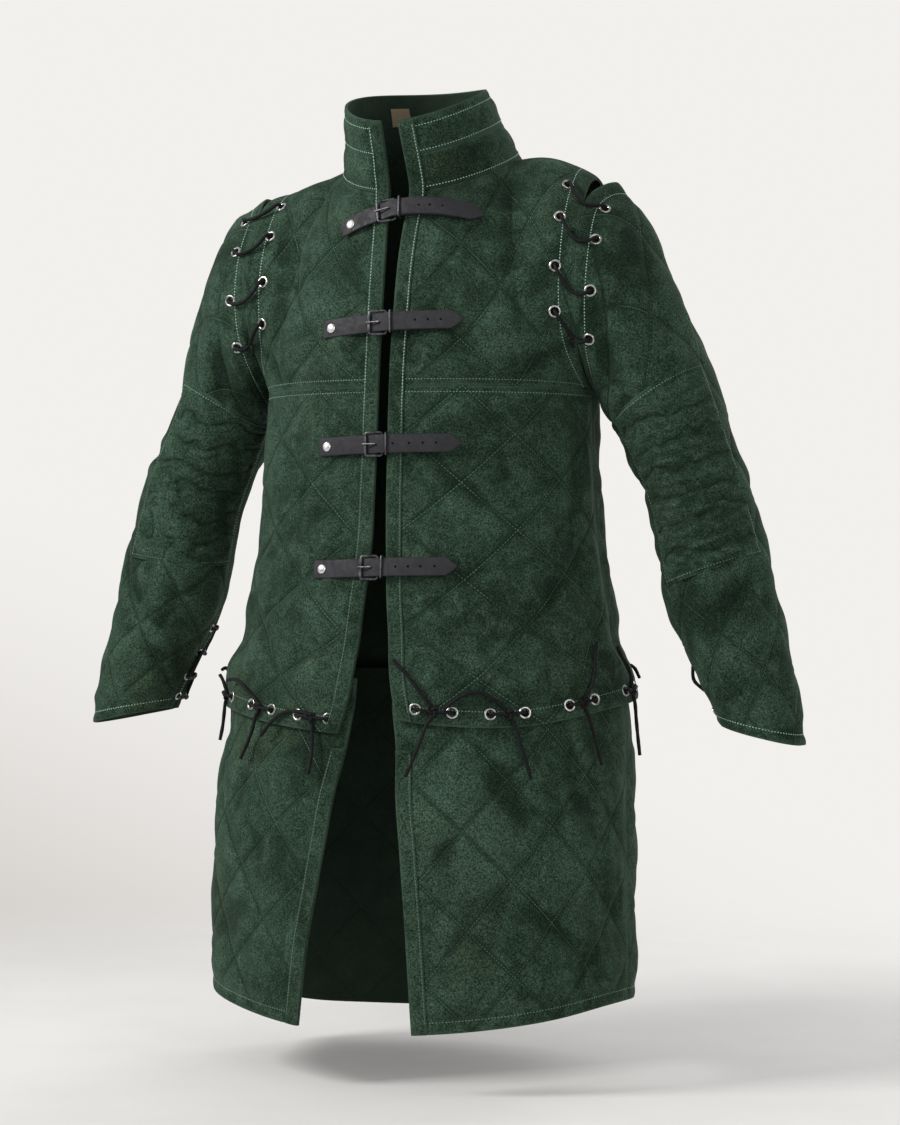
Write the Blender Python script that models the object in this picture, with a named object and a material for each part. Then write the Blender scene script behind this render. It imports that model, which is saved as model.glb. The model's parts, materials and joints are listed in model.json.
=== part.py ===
"""A quilted gambeson: padded suede body, laced sleeves and a skirt tied inside the body hem.

Metres, +Z up. The origin is between the wearer's shoulders, at the side of the neck.
The front faces -Y and the wearer's left arm is at +X. A side is +1 (left) or -1 (right).
"""

import math
from collections import namedtuple

import bpy
import numpy as np

# ---- driving dimensions -------------------------------------------------------------------

WALL = 0.0040            # padded cloth where a quilting line presses it down
PUFF = 0.0040            # how far a quilted diamond stands out over its lines
SEAM_GAP = 0.0003        # between neighbouring pieces
DIAMOND_STEPS = 4        # grid steps from one crossing of the quilting lines to the next
CHEST_Z = -0.272         # level seam, at the bottom of the armholes
SKIRT_TOP_Z = -0.600     # the skirt's top edge, hidden behind the body hem
LOWEST_HEM_Z = -0.663    # of the body
TIE_ABOVE_HEM = 0.0155   # the row of eyelets in the body hem
SHOULDER_RISE = {1: 0.015, -1: -0.002}   # the worn shoulders aren't quite level
COLLAR_LEAN = -0.008     # the collar's top edge leans towards the wearer's right
SKIRT_LEAN = -0.008      # and so does the skirt, below the body hem
STRIP_WALL = 0.0014
THONG = 0.0038           # leather thong of the ties and laces
STRAP_WIDTH = 0.021
STRAP_WALL = 0.0024
CLEAR = 0.0004           # between a strap and the quilting's highest points

Ring = namedtuple("Ring", "z half_width half_depth")
TORSO_RINGS = (
    Ring(-0.665, 0.2520, 0.1775),
    Ring(-0.595, 0.2450, 0.1725),
    Ring(-0.560, 0.2260, 0.1635),
    Ring(-0.525, 0.2210, 0.1600),
    Ring(-0.490, 0.2140, 0.1545),
    Ring(-0.450, 0.2080, 0.1495),
    Ring(-0.390, 0.2030, 0.1465),
    Ring(-0.340, 0.2000, 0.1445),
    Ring(-0.272, 0.1990, 0.1440),
)
SKIRT_RINGS = (
    Ring(-1.030, 0.2540, 0.1890),
    Ring(-0.860, 0.2520, 0.1860),
    Ring(-0.760, 0.2510, 0.1840),
    Ring(-0.720, 0.2486, 0.1806),
    Ring(-0.690, 0.2441, 0.1751),
    Ring(-0.664, 0.2428, 0.1722),
    Ring(-0.645, 0.2410, 0.1702),
    Ring(-0.630, 0.2388, 0.1680),
    Ring(-0.600, 0.2330, 0.1625),
)

# How far each front edge stands from the centre line, wearer's right and left
Opening = namedtuple("Opening", "z right left")
BODY_OPENING = (
    Opening(-0.665, 0.0400, 0.0320),
    Opening(-0.630, 0.0290, 0.0250),
    Opening(-0.560, 0.0200, 0.0158),
    Opening(-0.500, 0.0150, 0.0100),
    Opening(-0.450, 0.0112, 0.0070),
    Opening(-0.370, 0.0090, 0.0060),
    Opening(-0.272, 0.0066, 0.0070),
    Opening(-0.190, 0.0050, 0.0098),
    Opening(-0.117, 0.0068, 0.0110),
    Opening(-0.051, 0.0112, 0.0150),
)
SKIRT_OPENING = (
    Opening(-1.000, 0.0765, 0.0640),
    Opening(-0.905, 0.0660, 0.0570),
    Opening(-0.830, 0.0520, 0.0510),
    Opening(-0.760, 0.0390, 0.0445),
    Opening(-0.690, 0.0315, 0.0327),
    Opening(-0.630, 0.0230, 0.0230),
)

# The body's hem, from the centre front round by the wearer's left; higher at the sides
Hem = namedtuple("Hem", "degrees z")
BODY_HEM = (
    Hem(0, -0.640),
    Hem(6, -0.643),
    Hem(13, -0.648),
    Hem(23, -0.651),
    Hem(33, -0.652),
    Hem(45, -0.649),
    Hem(55, -0.643),
    Hem(70, -0.634),
    Hem(90, -0.626),
    Hem(180, -0.630),
    Hem(270, -0.635),
    Hem(303, -0.643),
    Hem(330, -0.655),
    Hem(347, -0.661),
    Hem(360, LOWEST_HEM_Z),
)

# The skirt's back hem below the side seams, from the wearer's left side round to the right
HemDrop = namedtuple("HemDrop", "degrees drop")
BACK_HEM = (
    HemDrop(90, 0.000),
    HemDrop(112, 0.004),
    HemDrop(135, 0.020),
    HemDrop(160, 0.042),
    HemDrop(185, 0.051),
    HemDrop(211, 0.052),
    HemDrop(232, 0.045),
    HemDrop(250, 0.028),
    HemDrop(262, 0.010),
    HemDrop(270, 0.000),
)

# How far each arm's outer side stands out from the sections below, by share of its length
OuterSide = namedtuple("OuterSide", "share right left")
OUTER_SIDES = (
    OuterSide(0.00, 0.000, 0.000),
    OuterSide(0.09, 0.008, 0.000),
    OuterSide(0.20, -0.004, -0.003),
    OuterSide(0.30, -0.008, -0.003),
    OuterSide(0.42, 0.003, -0.004),
    OuterSide(0.60, 0.005, -0.005),
    OuterSide(0.85, 0.006, -0.006),
    OuterSide(1.00, 0.012, -0.002),
)

# Sleeve sections, shoulder to cuff: the arm's inner and outer side, and its half depth
Section = namedtuple("Section", "inner_x inner_z outer_x outer_z half_depth centre_y")
SLEEVE_SECTIONS = (
    Section(0.1994, -0.272, 0.2140, -0.036, 0.085, 0.005),
    Section(0.2070, -0.281, 0.2420, -0.062, 0.081, 0.005),
    Section(0.2130, -0.291, 0.2730, -0.118, 0.076, 0.008),
    Section(0.2180, -0.301, 0.3040, -0.180, 0.072, 0.014),
    Section(0.2240, -0.317, 0.3340, -0.256, 0.069, 0.022),
    Section(0.2420, -0.355, 0.3540, -0.315, 0.066, 0.028),
    Section(0.2630, -0.407, 0.3730, -0.369, 0.064, 0.030),
    Section(0.2750, -0.462, 0.3900, -0.424, 0.063, 0.030),
    Section(0.2840, -0.510, 0.4040, -0.470, 0.060, 0.030),
    Section(0.2960, -0.545, 0.4150, -0.512, 0.057, 0.030),
    Section(0.3130, -0.580, 0.4260, -0.560, 0.054, 0.030),
    Section(0.3300, -0.615, 0.4360, -0.615, 0.051, 0.030),
    Section(0.3450, -0.650, 0.4450, -0.671, 0.049, 0.030),
)
HEAD_SHARE = 0.12         # of the length, over which the head takes the armhole's shape
SLEEVE_COLUMNS = 20
SLEEVE_ROWS = 23
SLEEVE_SEAM_DEG = 195.0   # from the arm's outer side, round the front, to the seam and its slit
SLIT_START = 0.72         # as a share of the sleeve's length
SLIT_FULL = 0.96
SLIT_WIDTH = 0.032
SLIT_CORNER = 0.010       # how much each side is rounded off at the cuff
FOREARM_RADIUS = 0.055

# Arm patches follow the sleeve's columns; a tilt lifts the patch's last column by so many rows
Patch = namedtuple("Patch", "side first_column last_column tilt")
PATCHES = (Patch(1, 10, 17, 0.0), Patch(-1, 12, 19, 1.1))
PATCH_ROWS = (6, 15)
PATCH_WALL = 0.0018
CHANNEL_PUFF = 0.0026

# Where each strap crosses the front: heights at its riveted end, at its buckle and at its tip
# and how far its rivet pulls it down between the diamonds
Strap = namedtuple("Strap", "rivet_z buckle_z tip_z rivet_x buckle_x tip_x chape_x pull")
STRAPS = (
    Strap(-0.088, -0.074, -0.083, -0.052, -0.008, 0.097, 0.070, 0.0),
    Strap(-0.206, -0.202, -0.200, -0.066, -0.006, 0.089, 0.072, 0.0020),
    Strap(-0.340, -0.338, -0.337, -0.068, -0.008, 0.089, 0.072, 0.0009),
    Strap(-0.479, -0.477, -0.475, -0.070, -0.009, 0.089, 0.072, 0.0016),
)
BUCKLE_LENGTH = 0.019
BUCKLE_WIRE = 0.0028

# Ties: angle from the front, each tail's end from the knot, along the cloth and up, and how
# far the knot beds into the hem
Tie = namedtuple("Tie", "angle a_along a_up a_bow b_along b_up b_bow press")
TIES = (
    Tie(17, -0.042, 0.056, 0.004, -0.022, -0.072, 0.004, 0.0004),
    Tie(37, -0.060, 0.004, 0.022, 0.027, -0.072, 0.006, 0.0002),
    Tie(61, 0.040, 0.066, 0.002, 0.022, -0.070, 0.004, 0.0007),
    Tie(88, -0.012, 0.048, 0.004, 0.012, -0.076, 0.004, 0.0006),
    Tie(125, -0.050, 0.006, 0.016, 0.012, -0.066, 0.004, 0.0004),
    Tie(155, 0.040, -0.012, 0.014, -0.012, -0.068, 0.004, 0.0004),
    Tie(-17, -0.072, -0.024, 0.016, 0.008, -0.063, 0.004, 0.0000),
    Tie(-37, -0.058, 0.028, 0.012, -0.020, -0.060, 0.004, 0.0004),
    Tie(-61, -0.014, 0.022, 0.004, -0.008, -0.054, 0.004, 0.0010),
    Tie(-88, 0.030, 0.020, 0.010, -0.010, -0.070, 0.004, 0.0006),
    Tie(-125, 0.048, 0.008, 0.018, -0.012, -0.064, 0.004, 0.0004),
    Tie(-155, -0.042, -0.006, 0.014, 0.012, -0.070, 0.004, 0.0004),
)

# Shoulder lacing: eyelet pairs round the armhole, degrees from its top, front then back
FRONT_EYELETS = (118, 88, 57, 32)
BACK_EYELETS = (-50, -95)
EYELET_FROM_EDGE = 0.025
CUFF_RUNGS = (0.765, 0.835, 0.905, 0.965)   # as shares of the sleeve's length
CUFF_REACH = 0.010                          # from the slit's edge to each of its eyelets
THONG_STEP = 3 * THONG                      # between the points of a thong's path

Finish = namedtuple("Finish", "color roughness metallic")
FINISHES = {
    "suede": Finish((0.040, 0.062, 0.036), 0.92, 0.0),
    "edge_suede": Finish((0.034, 0.052, 0.032), 0.90, 0.0),
    "strap_leather": Finish((0.010, 0.010, 0.011), 0.45, 0.0),
    "thong_leather": Finish((0.014, 0.013, 0.013), 0.55, 0.0),
    "buckle_metal": Finish((0.20, 0.20, 0.21), 0.35, 1.0),
    "rivet_metal": Finish((0.62, 0.62, 0.60), 0.30, 1.0),
    "label_cloth": Finish((0.46, 0.38, 0.27), 0.85, 0.0),
}


# ---- small helpers ------------------------------------------------------------------------

def clear_scene():
    for obj in list(bpy.data.objects):
        bpy.data.objects.remove(obj, do_unlink=True)


def unit(vector):
    return vector / np.linalg.norm(vector)


def blend(a, b, share):
    return a + (b - a) * share


def ease(share):
    """0 to 1 with a soft start and a soft end."""
    share = min(max(share, 0.0), 1.0)
    return share * share * (3 - 2 * share)


def smooth_row(table, key, x):
    """A table's row at x, on a smooth curve through its rows; the key column rises."""
    values = np.array(table, dtype=float)
    knots = values[:, key]
    x = min(max(x, knots[0]), knots[-1])
    slopes = np.gradient(values, knots, axis=0)
    k = min(max(int(np.searchsorted(knots, x)) - 1, 0), len(knots) - 2)
    span = knots[k + 1] - knots[k]
    t = (x - knots[k]) / span
    return (
        (2 * t**3 - 3 * t**2 + 1) * values[k]
        + (t**3 - 2 * t**2 + t) * span * slopes[k]
        + (3 * t**2 - 2 * t**3) * values[k + 1]
        + (t**3 - t**2) * span * slopes[k + 1]
    )


def mirrored(point, side):
    return point * np.array([side, 1.0, 1.0])


def facing(point, u, v, du, dv, low=(0, 0), high=(1, 1)):
    """The outward normal of a surface, from points a little to each side."""
    u0, u1 = max(u - du, low[0]), min(u + du, high[0])
    v0, v1 = max(v - dv, low[1]), min(v + dv, high[1])
    return unit(np.cross(point(u1, v) - point(u0, v), point(u, v1) - point(u, v0)))


# ---- the body's form ----------------------------------------------------------------------

# The neckline and the collar's top edge are level ovals seen from above
Oval = namedtuple("Oval", "half_width half_depth centre_x centre_y")
NECK = Oval(0.104, 0.100, 0.0, -0.005)
COLLAR_TOP = Oval(0.0825, 0.0845, COLLAR_LEAN, -0.036)
CENTRE_NECK_Z = -0.051    # the neckline's lowest point, at the centre front
FRONT_NECK_SHARE = 0.6    # of a panel's width at the top, the neckline's part
BACK_NECK_SHARE = 0.6


def ring_point(rings, angle, z):
    """On a level ring; the angle starts at the centre front and rises to the wearer's left."""
    ring = smooth_row(rings, 0, z)
    return np.array([ring[1] * math.sin(angle), -ring[2] * math.cos(angle), z])


def body_hem_z(angle):
    return smooth_row(BODY_HEM, 0, math.degrees(angle) % 360)[1]


def skirt_hem_z(angle):
    """Dipping towards the centre front; the back is longer, with rounded side corners."""
    degrees = math.degrees(angle % (2 * math.pi))
    if 90 < degrees < 270:
        return -0.965 - smooth_row(BACK_HEM, 0, degrees)[1]
    return -0.965 - 0.028 * math.cos(angle) ** 2


def side_value(table, side, key):
    """A table's value for one side: its rows are a key, the wearer's right and the left."""
    row = smooth_row(table, 0, key)
    return row[2] if side > 0 else row[1]


def on_oval(oval, angle, z):
    x = oval.centre_x + oval.half_width * math.sin(angle)
    return np.array([x, oval.centre_y - oval.half_depth * math.cos(angle), z])


def neckline(angle):
    """The seam round the neck: lowest at the centre front, highest at the centre back."""
    c = math.cos(angle)
    return on_oval(NECK, angle, -0.005 - 0.0355 * c - 0.0105 * c * c)


def neck_start(side):
    """The angle at which a front's edge meets the neckline."""
    return math.asin(side_value(BODY_OPENING, side, CENTRE_NECK_Z) / NECK.half_width)


def collar_top(angle):
    c = math.cos(angle)
    return on_oval(COLLAR_TOP, angle, 0.070 - 0.029 * c - 0.012 * c * c)


def neck_normal(angle):
    """Halfway between the body's and the collar's facing, so that their rims are parallel."""
    c = math.cos(angle)
    rise = 0.95 * math.sin(angle) ** 2 + (0.10 if c > 0 else 0.46) * c * c
    return unit(np.array([math.sin(angle), -c, rise]))


def armhole(angle):
    """Round the left armhole: 0 at the shoulder, a quarter turn at the front, then the underarm."""
    c, s = math.cos(angle), math.sin(angle)
    turn = abs((angle + math.pi) % (2 * math.pi) - math.pi)
    point_down = 0.30 * (1 - c)
    height = (1 - point_down) * c + point_down * (1 - 2 * turn / math.pi)
    half_depth = 0.090 if s > 0 else 0.082
    x = 0.2005 + 0.0015 * c + 0.0030 * s * s
    return np.array([x, 0.005 * (1 + c) - half_depth * s, -0.153 + 0.119 * height])


def shoulder_seam(side, share):
    """From the side of the neck out to the armhole, unmirrored."""
    start, end = neckline(math.pi / 2), armhole(0.0)
    rise = SHOULDER_RISE[side] * math.sin(math.pi * share)
    return blend(start, end, share) + np.array([0, 0, rise])


def shoulder_normal(share):
    along = unit(armhole(0.0) - neckline(math.pi / 2))
    up = np.array([0.0, 0.0, 1.0])
    level = unit(up - along * along.dot(up))
    return unit(blend(neck_normal(math.pi / 2), level, ease(share * 3)))


def front_edge(side, v):
    z = blend(CHEST_Z, CENTRE_NECK_Z, v)
    chest_y = -smooth_row(TORSO_RINGS, 0, CHEST_Z)[2]
    y = blend(chest_y, neckline(0.1)[1], v**2.2)
    return np.array([side_value(BODY_OPENING, side, z), y, z])


def front_top(side, u):
    if u <= FRONT_NECK_SHARE:
        return neckline(blend(neck_start(side), math.pi / 2, u / FRONT_NECK_SHARE))
    return shoulder_seam(side, (u - FRONT_NECK_SHARE) / (1 - FRONT_NECK_SHARE))


def between(bottom, top, left, right, u, v, left_pull, right_pull):
    """A surface across four edges; each side edge's own bend fades towards the other."""
    point = blend(bottom(u), top(u), v)
    point = point + left_pull * (left(v) - blend(left(0), left(1), v))
    return point + right_pull * (right(v) - blend(right(0), right(1), v))


def front(side, u, v):
    """A body front: u from the front edge to the side, v -1 at the hem, 0 chest seam, 1 top."""

    def level(u, z, hem):
        half_width = smooth_row(TORSO_RINGS, 0, z)[1]
        first = math.asin(side_value(BODY_OPENING, side, z) / half_width)
        angle = blend(first, math.pi / 2, u)
        if hem:
            z = blend(CHEST_Z, body_hem_z(side * angle), -v)
        return ring_point(TORSO_RINGS, angle, z)

    if v <= 0:
        return mirrored(level(u, blend(CHEST_Z, LOWEST_HEM_Z, -v), True), side)
    point = between(
        lambda u: level(u, CHEST_Z, False),
        lambda u: front_top(side, u),
        lambda v: front_edge(side, v),
        lambda v: armhole(math.pi * (1 - v)),
        u, v, (1 - u) ** 2, max(u, 0.0) ** 1.5,
    )
    return mirrored(point, side)


def clear_of_sleeve(normal, side):
    """Without any lean away from the sleeve, so that the armhole's rim never reaches it."""
    return np.array([side * max(side * normal[0], 0.0), normal[1], normal[2]])


def front_normal(side, u, v):
    if v > 0.98:
        if u <= FRONT_NECK_SHARE + 1e-6:
            share = min(u / FRONT_NECK_SHARE, 1)
            normal = neck_normal(blend(neck_start(side), math.pi / 2, share))
        else:
            normal = shoulder_normal((u - FRONT_NECK_SHARE) / (1 - FRONT_NECK_SHARE))
        return mirrored(normal, side)
    high = (1.02 if v < 0.001 else 1, 1)
    normal = side * facing(lambda u, v: front(side, u, v), u, v, 0.02, 0.02, (-0.02, -1.02), high)
    return unit(clear_of_sleeve(normal, side)) if u > 0.99 and v > 0 else normal


def back_angle(u):
    """From the wearer's left side seam round the back to the right one."""
    return blend(math.pi / 2, 3 * math.pi / 2, u)


def back(u, v):
    """The back: u from the wearer's left to right, v as on the fronts."""
    angle = back_angle(u)
    if v <= 0:
        return ring_point(TORSO_RINGS, angle, blend(CHEST_Z, body_hem_z(angle), -v))

    def top(u):
        edge = (1 - BACK_NECK_SHARE) / 2
        if u < edge:
            return shoulder_seam(1, 1 - u / edge)
        if u > 1 - edge:
            return mirrored(shoulder_seam(-1, (u - 1 + edge) / edge), -1)
        return neckline(blend(math.pi / 2, 3 * math.pi / 2, (u - edge) / BACK_NECK_SHARE))

    return between(
        lambda u: ring_point(TORSO_RINGS, back_angle(u), CHEST_Z),
        top,
        lambda v: armhole(-math.pi * (1 - v)),
        lambda v: mirrored(armhole(-math.pi * (1 - v)), -1),
        u, v, (1 - u) ** 3, u**3,
    )


def back_normal(u, v):
    if v > 0.98:
        edge = (1 - BACK_NECK_SHARE) / 2
        if u < edge - 1e-6:
            return shoulder_normal(1 - u / edge)
        if u > 1 - edge + 1e-6:
            return mirrored(shoulder_normal((u - 1 + edge) / edge), -1)
        return neck_normal(blend(math.pi / 2, 3 * math.pi / 2, (u - edge) / BACK_NECK_SHARE))
    low, high = (0, 1) if v > 0.001 else (-0.02, 1.02)
    normal = facing(back, u, v, 0.02, 0.02, (low, -1.02), (high, 1))
    if v > 0 and min(u, 1 - u) < 0.01:
        normal = unit(clear_of_sleeve(normal, 1 if u < 0.5 else -1))
    return normal


def collar(angle, height):
    """The standing collar: height 0 at the neckline and 1 at its top edge."""
    point = blend(neckline(angle), collar_top(angle), height)
    hollow = 0.0015 * math.sin(math.pi * height)
    return point - np.array([hollow * math.sin(angle), -hollow * math.cos(angle), 0])


def collar_normal(angle, height):
    if height < 0.02:
        return neck_normal(angle)
    return facing(collar, angle, height, 0.03, 0.05, (-9, 0), (9, 1))


def skirt_lean(z):
    """How far the skirt leans sideways at a height; none behind the body hem."""
    return SKIRT_LEAN * ease((-0.660 - z) / 0.100)


def skirt(angle, v):
    """The skirt: v 0 at its top edge and 1 at its hem, with soft folds that grow downwards."""
    z = blend(SKIRT_TOP_Z, skirt_hem_z(angle), v)
    fold = 0.0035 * ease((v - 0.2) / 0.8) * math.cos(7 * angle + 0.6) * math.sin(angle) ** 2
    outward = np.array([math.sin(angle), -math.cos(angle), 0])
    return ring_point(SKIRT_RINGS, angle, z) + fold * outward + np.array([skirt_lean(z), 0, 0])


def skirt_normal(angle, v):
    return facing(skirt, angle, v, 0.04, 0.02, (-9, 0), (9, 1)) * -1


# ---- the sleeve's form --------------------------------------------------------------------

def sleeve_table():
    """The sections, each with its share of the sleeve's length as a first column."""
    rows = np.array(SLEEVE_SECTIONS)
    middles = np.stack([rows[:, 0] + rows[:, 2], rows[:, 1] + rows[:, 3]], 1) / 2
    steps = np.linalg.norm(np.diff(middles, axis=0), axis=1)
    shares = np.concatenate([[0], np.cumsum(steps)]) / steps.sum()
    return np.column_stack([shares, rows])


SLEEVE_TABLE = sleeve_table()


def sleeve(side, angle, share):
    """On a sleeve: angle from the arm's outer side round the front, share of its length."""
    _, inner_x, inner_z, outer_x, outer_z, half_depth, centre_y = smooth_row(SLEEVE_TABLE, 0, share)
    outer_x += side_value(OUTER_SIDES, side, share)
    c, s = math.cos(angle), math.sin(angle)
    inner, outer = np.array([inner_x, 0, inner_z]), np.array([outer_x, 0, outer_z])
    point = (inner + outer) / 2 + (outer - inner) / 2 * c
    point = point + np.array([0, centre_y - half_depth * s, 0])
    if share < HEAD_SHARE:
        first = SLEEVE_TABLE[0]
        start = np.array([(first[1] + first[3]) / 2 + (first[3] - first[1]) / 2 * c,
                          first[6] - first[5] * s,
                          (first[2] + first[4]) / 2 + (first[4] - first[2]) / 2 * c])
        turn = abs((angle + math.pi) % (2 * math.pi) - math.pi)
        notch = 0.013 * ease(1 - turn / math.radians(40))
        head = armhole(angle) + np.array([SEAM_GAP + notch, 0, 0])
        point = point + (head - start) * (1 - ease(share / HEAD_SHARE))
    return mirrored(point, side)


def sleeve_normal(side, angle, share):
    """Facing out; at the head it never leans towards the body, so the rims stay apart."""
    unmirrored = lambda a, s: mirrored(sleeve(side, a, s), side)
    normal = facing(unmirrored, angle, share, 0.05, 0.015, (-99, 0), (99, 1))
    if share == 0:
        normal[0] = min(normal[0], 0.0)
    return mirrored(unit(normal), side)


def slit_half_angle(share):
    """Half the opening between a sleeve's long edges; rounded off at the cuff."""
    opening = SLIT_WIDTH / 2 * ease((share - SLIT_START) / (SLIT_FULL - SLIT_START))
    corner = SLIT_CORNER * ease((share - 0.95) / 0.05)
    return (SEAM_GAP / 2 + opening + corner) / FOREARM_RADIUS


def sleeve_angle(column, share):
    """Columns go once round, from one side of the seam to the other."""
    half = slit_half_angle(share)
    seam = math.radians(SLEEVE_SEAM_DEG)
    even = 2 * math.pi * column / SLEEVE_COLUMNS
    near = min(column, SLEEVE_COLUMNS - column) / 2
    push = half * max(0.0, 1 - near)
    return seam + even + (push if column < SLEEVE_COLUMNS / 2 else -push)


# ---- cloth solids -------------------------------------------------------------------------

def quilt_level(i, j, steps=DIAMOND_STEPS):
    """0 on a quilting line and 1 in the middle of a diamond, at grid place i, j."""
    rising = abs((i + j + steps / 2) % steps - steps / 2)
    falling = abs((i - j + steps / 2) % steps - steps / 2)
    middle = min(rising, falling) / (steps / 2)
    return math.sin(middle * math.pi / 2)


def across_falling(i, j, steps=DIAMOND_STEPS):
    """Whether the grid cell at i, j is split along the rising family of quilting lines."""
    rising = abs((i + j + 1 + steps / 2) % steps - steps / 2)
    falling = abs((i - j + steps / 2) % steps - steps / 2)
    return rising < falling


def sheet_faces(columns, rows, inner_columns, inner_rows, shift):
    """Triangles of a closed sheet: outer grid, coarser inner grid, and the rim between."""
    def outer(i, j):
        return i * rows + j

    def inner(a, b):
        return columns * rows + a * len(inner_rows) + b

    faces = []
    for i in range(columns - 1):
        for j in range(rows - 1):
            a, b, c, d = outer(i, j), outer(i + 1, j), outer(i + 1, j + 1), outer(i, j + 1)
            if across_falling(i + shift, j):
                faces += [(a, b, d), (b, c, d)]
            else:
                faces += [(a, b, c), (a, c, d)]
    for a in range(len(inner_columns) - 1):
        for b in range(len(inner_rows) - 1):
            p, q = inner(a, b), inner(a + 1, b)
            r, s = inner(a + 1, b + 1), inner(a, b + 1)
            faces += [(p, r, q), (p, s, r)]

    last_column, last_row = columns - 1, rows - 1
    outer_loop = [(i, 0) for i in range(last_column)]
    outer_loop += [(last_column, j) for j in range(last_row)]
    outer_loop += [(i, last_row) for i in range(last_column, 0, -1)]
    outer_loop += [(0, j) for j in range(last_row, 0, -1)]
    kept = {(i, j) for i in inner_columns for j in inner_rows}
    stops = [k for k, place in enumerate(outer_loop) if place in kept]
    for k, start in enumerate(stops):
        stop = stops[(k + 1) % len(stops)]
        length = (stop - start) % len(outer_loop)
        (i0, j0), (i1, j1) = outer_loop[start], outer_loop[stop]
        near = inner(inner_columns.index(i0), inner_rows.index(j0))
        far = inner(inner_columns.index(i1), inner_rows.index(j1))
        for step in range(length):
            here = outer(*outer_loop[(start + step) % len(outer_loop)])
            there = outer(*outer_loop[(start + step + 1) % len(outer_loop)])
            foot = near if step < length / 2 else far
            faces.append((here, foot, there))
            if step < length / 2 <= step + 1:
                faces.append((there, near, far))
    return faces


def signed_volume(points, faces):
    a, b, c = (points[[face[k] for face in faces]] for k in range(3))
    return np.einsum("ij,ij->i", a, np.cross(b, c)).sum() / 6


def make_object(name, points, faces, material):
    points = np.array(points)
    if signed_volume(points, faces) < 0:
        faces = [face[::-1] for face in faces]
    mesh = bpy.data.meshes.new(name)
    mesh.from_pydata([tuple(point) for point in points], [], faces)
    mesh.shade_smooth()
    mesh.set_sharp_from_angle(angle=math.radians(50))
    obj = bpy.data.objects.new(name, mesh)
    mesh.materials.append(material)
    bpy.context.scene.collection.objects.link(obj)
    return obj


def every_other(count, anchor):
    """Indices of the coarser inner grid, always with both ends."""
    return sorted({i for i in range(count) if (i - anchor) % 2 == 0} | {0, count - 1})


def sheet(name, outer, normals, lifts, wall, material, coarse=(False, False), shift=0):
    """A cloth wall: outer points moved out by the lifts, over a plain inner face."""
    columns, rows = lifts.shape
    inner_columns = every_other(columns, columns - 1) if coarse[0] else list(range(columns))
    inner_rows = every_other(rows, 0) if coarse[1] else list(range(rows))
    points = (outer + normals * lifts[..., None]).reshape(-1, 3)
    inner = (outer - normals * wall)[np.ix_(inner_columns, inner_rows)].reshape(-1, 3)
    faces = sheet_faces(columns, rows, inner_columns, inner_rows, shift)
    return make_object(name, np.concatenate([points, inner]), faces, material)


def grid(function, us, vs):
    return np.array([[function(u, v) for v in vs] for u in us])


def quilting(columns, rows, shift=0, plain_columns=1):
    """Heights of the quilted diamonds on a grid, none along its edges."""
    lifts = np.zeros((columns, rows))
    for i in range(plain_columns, columns - 1):
        for j in range(1, rows - 1):
            lifts[i, j] = PUFF * quilt_level(i + shift, j)
    return lifts


def spaced(first, last, cells, gap_first=0.0, gap_last=0.0):
    places = np.linspace(first, last, cells + 1)
    places[0] += gap_first
    places[-1] -= gap_last
    return list(places)


# ---- the body panels ----------------------------------------------------------------------

STRIP_SHARE = 0.064       # of a front's width, under the edge strip
NECK_CELLS = 5
SHOULDER_CELLS = 4
BACK_NECK_CELLS = 12
LOWER_ROWS = 14
UPPER_ROWS = 9
SKIRT_ROWS = 14
SKIRT_FRONT_CELLS = 12
SKIRT_BACK_CELLS = 26
HALF_GAP_SHARE = 0.0007   # half a seam's gap as a share of a panel's width or height
FLAT_HEM_ROW = 1          # no quilting on this grid row: the body hem is a flat band


def front_columns():
    return (
        [0.0]
        + spaced(STRIP_SHARE, FRONT_NECK_SHARE, NECK_CELLS)
        + spaced(FRONT_NECK_SHARE, 1.0, SHOULDER_CELLS, 0, HALF_GAP_SHARE)[1:]
    )


def back_columns():
    edge = (1 - BACK_NECK_SHARE) / 2
    return (
        spaced(0, edge, SHOULDER_CELLS, HALF_GAP_SHARE / 2)
        + spaced(edge, 1 - edge, BACK_NECK_CELLS)[1:]
        + spaced(1 - edge, 1, SHOULDER_CELLS, 0, HALF_GAP_SHARE / 2)[1:]
    )


def lower_rows(gap_at_chest):
    return spaced(-1.0, 0.0, LOWER_ROWS, 0, gap_at_chest)


def upper_rows(gap_at_chest):
    return spaced(0.0, 1.0, UPPER_ROWS, gap_at_chest, HALF_GAP_SHARE * 1.6)


def build_front(side, name, rows, material):
    us = front_columns()
    outer = grid(lambda u, v: front(side, u, v), us, rows)
    normals = grid(lambda u, v: front_normal(side, u, v), us, rows)
    lifts = quilting(len(us), len(rows), -1, 2)
    is_lower = rows[0] == -1.0
    if is_lower:
        lifts[:, FLAT_HEM_ROW] = 0
    return sheet(name, outer, normals, lifts, WALL, material, (is_lower, True), -1)


def build_back(material):
    us = back_columns()
    rows = lower_rows(0) + upper_rows(0)[1:]
    outer = grid(back, us, rows)
    normals = grid(back_normal, us, rows)
    lifts = quilting(len(us), len(rows))
    lifts[:, FLAT_HEM_ROW] = 0
    return sheet("back", outer, normals, lifts, WALL, material, (False, True))


def collar_angles():
    """Round the neck from the left front edge to the right, at the panels' own columns."""
    def front_part(side):
        shares = [u / FRONT_NECK_SHARE for u in front_columns()[: NECK_CELLS + 2]]
        return [blend(neck_start(side), math.pi / 2, share) for share in shares]

    left = front_part(1)
    behind = spaced(math.pi / 2, 3 * math.pi / 2, BACK_NECK_CELLS)[1:-1]
    right = [2 * math.pi - angle for angle in reversed(front_part(-1))]
    return left + behind + right


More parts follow.
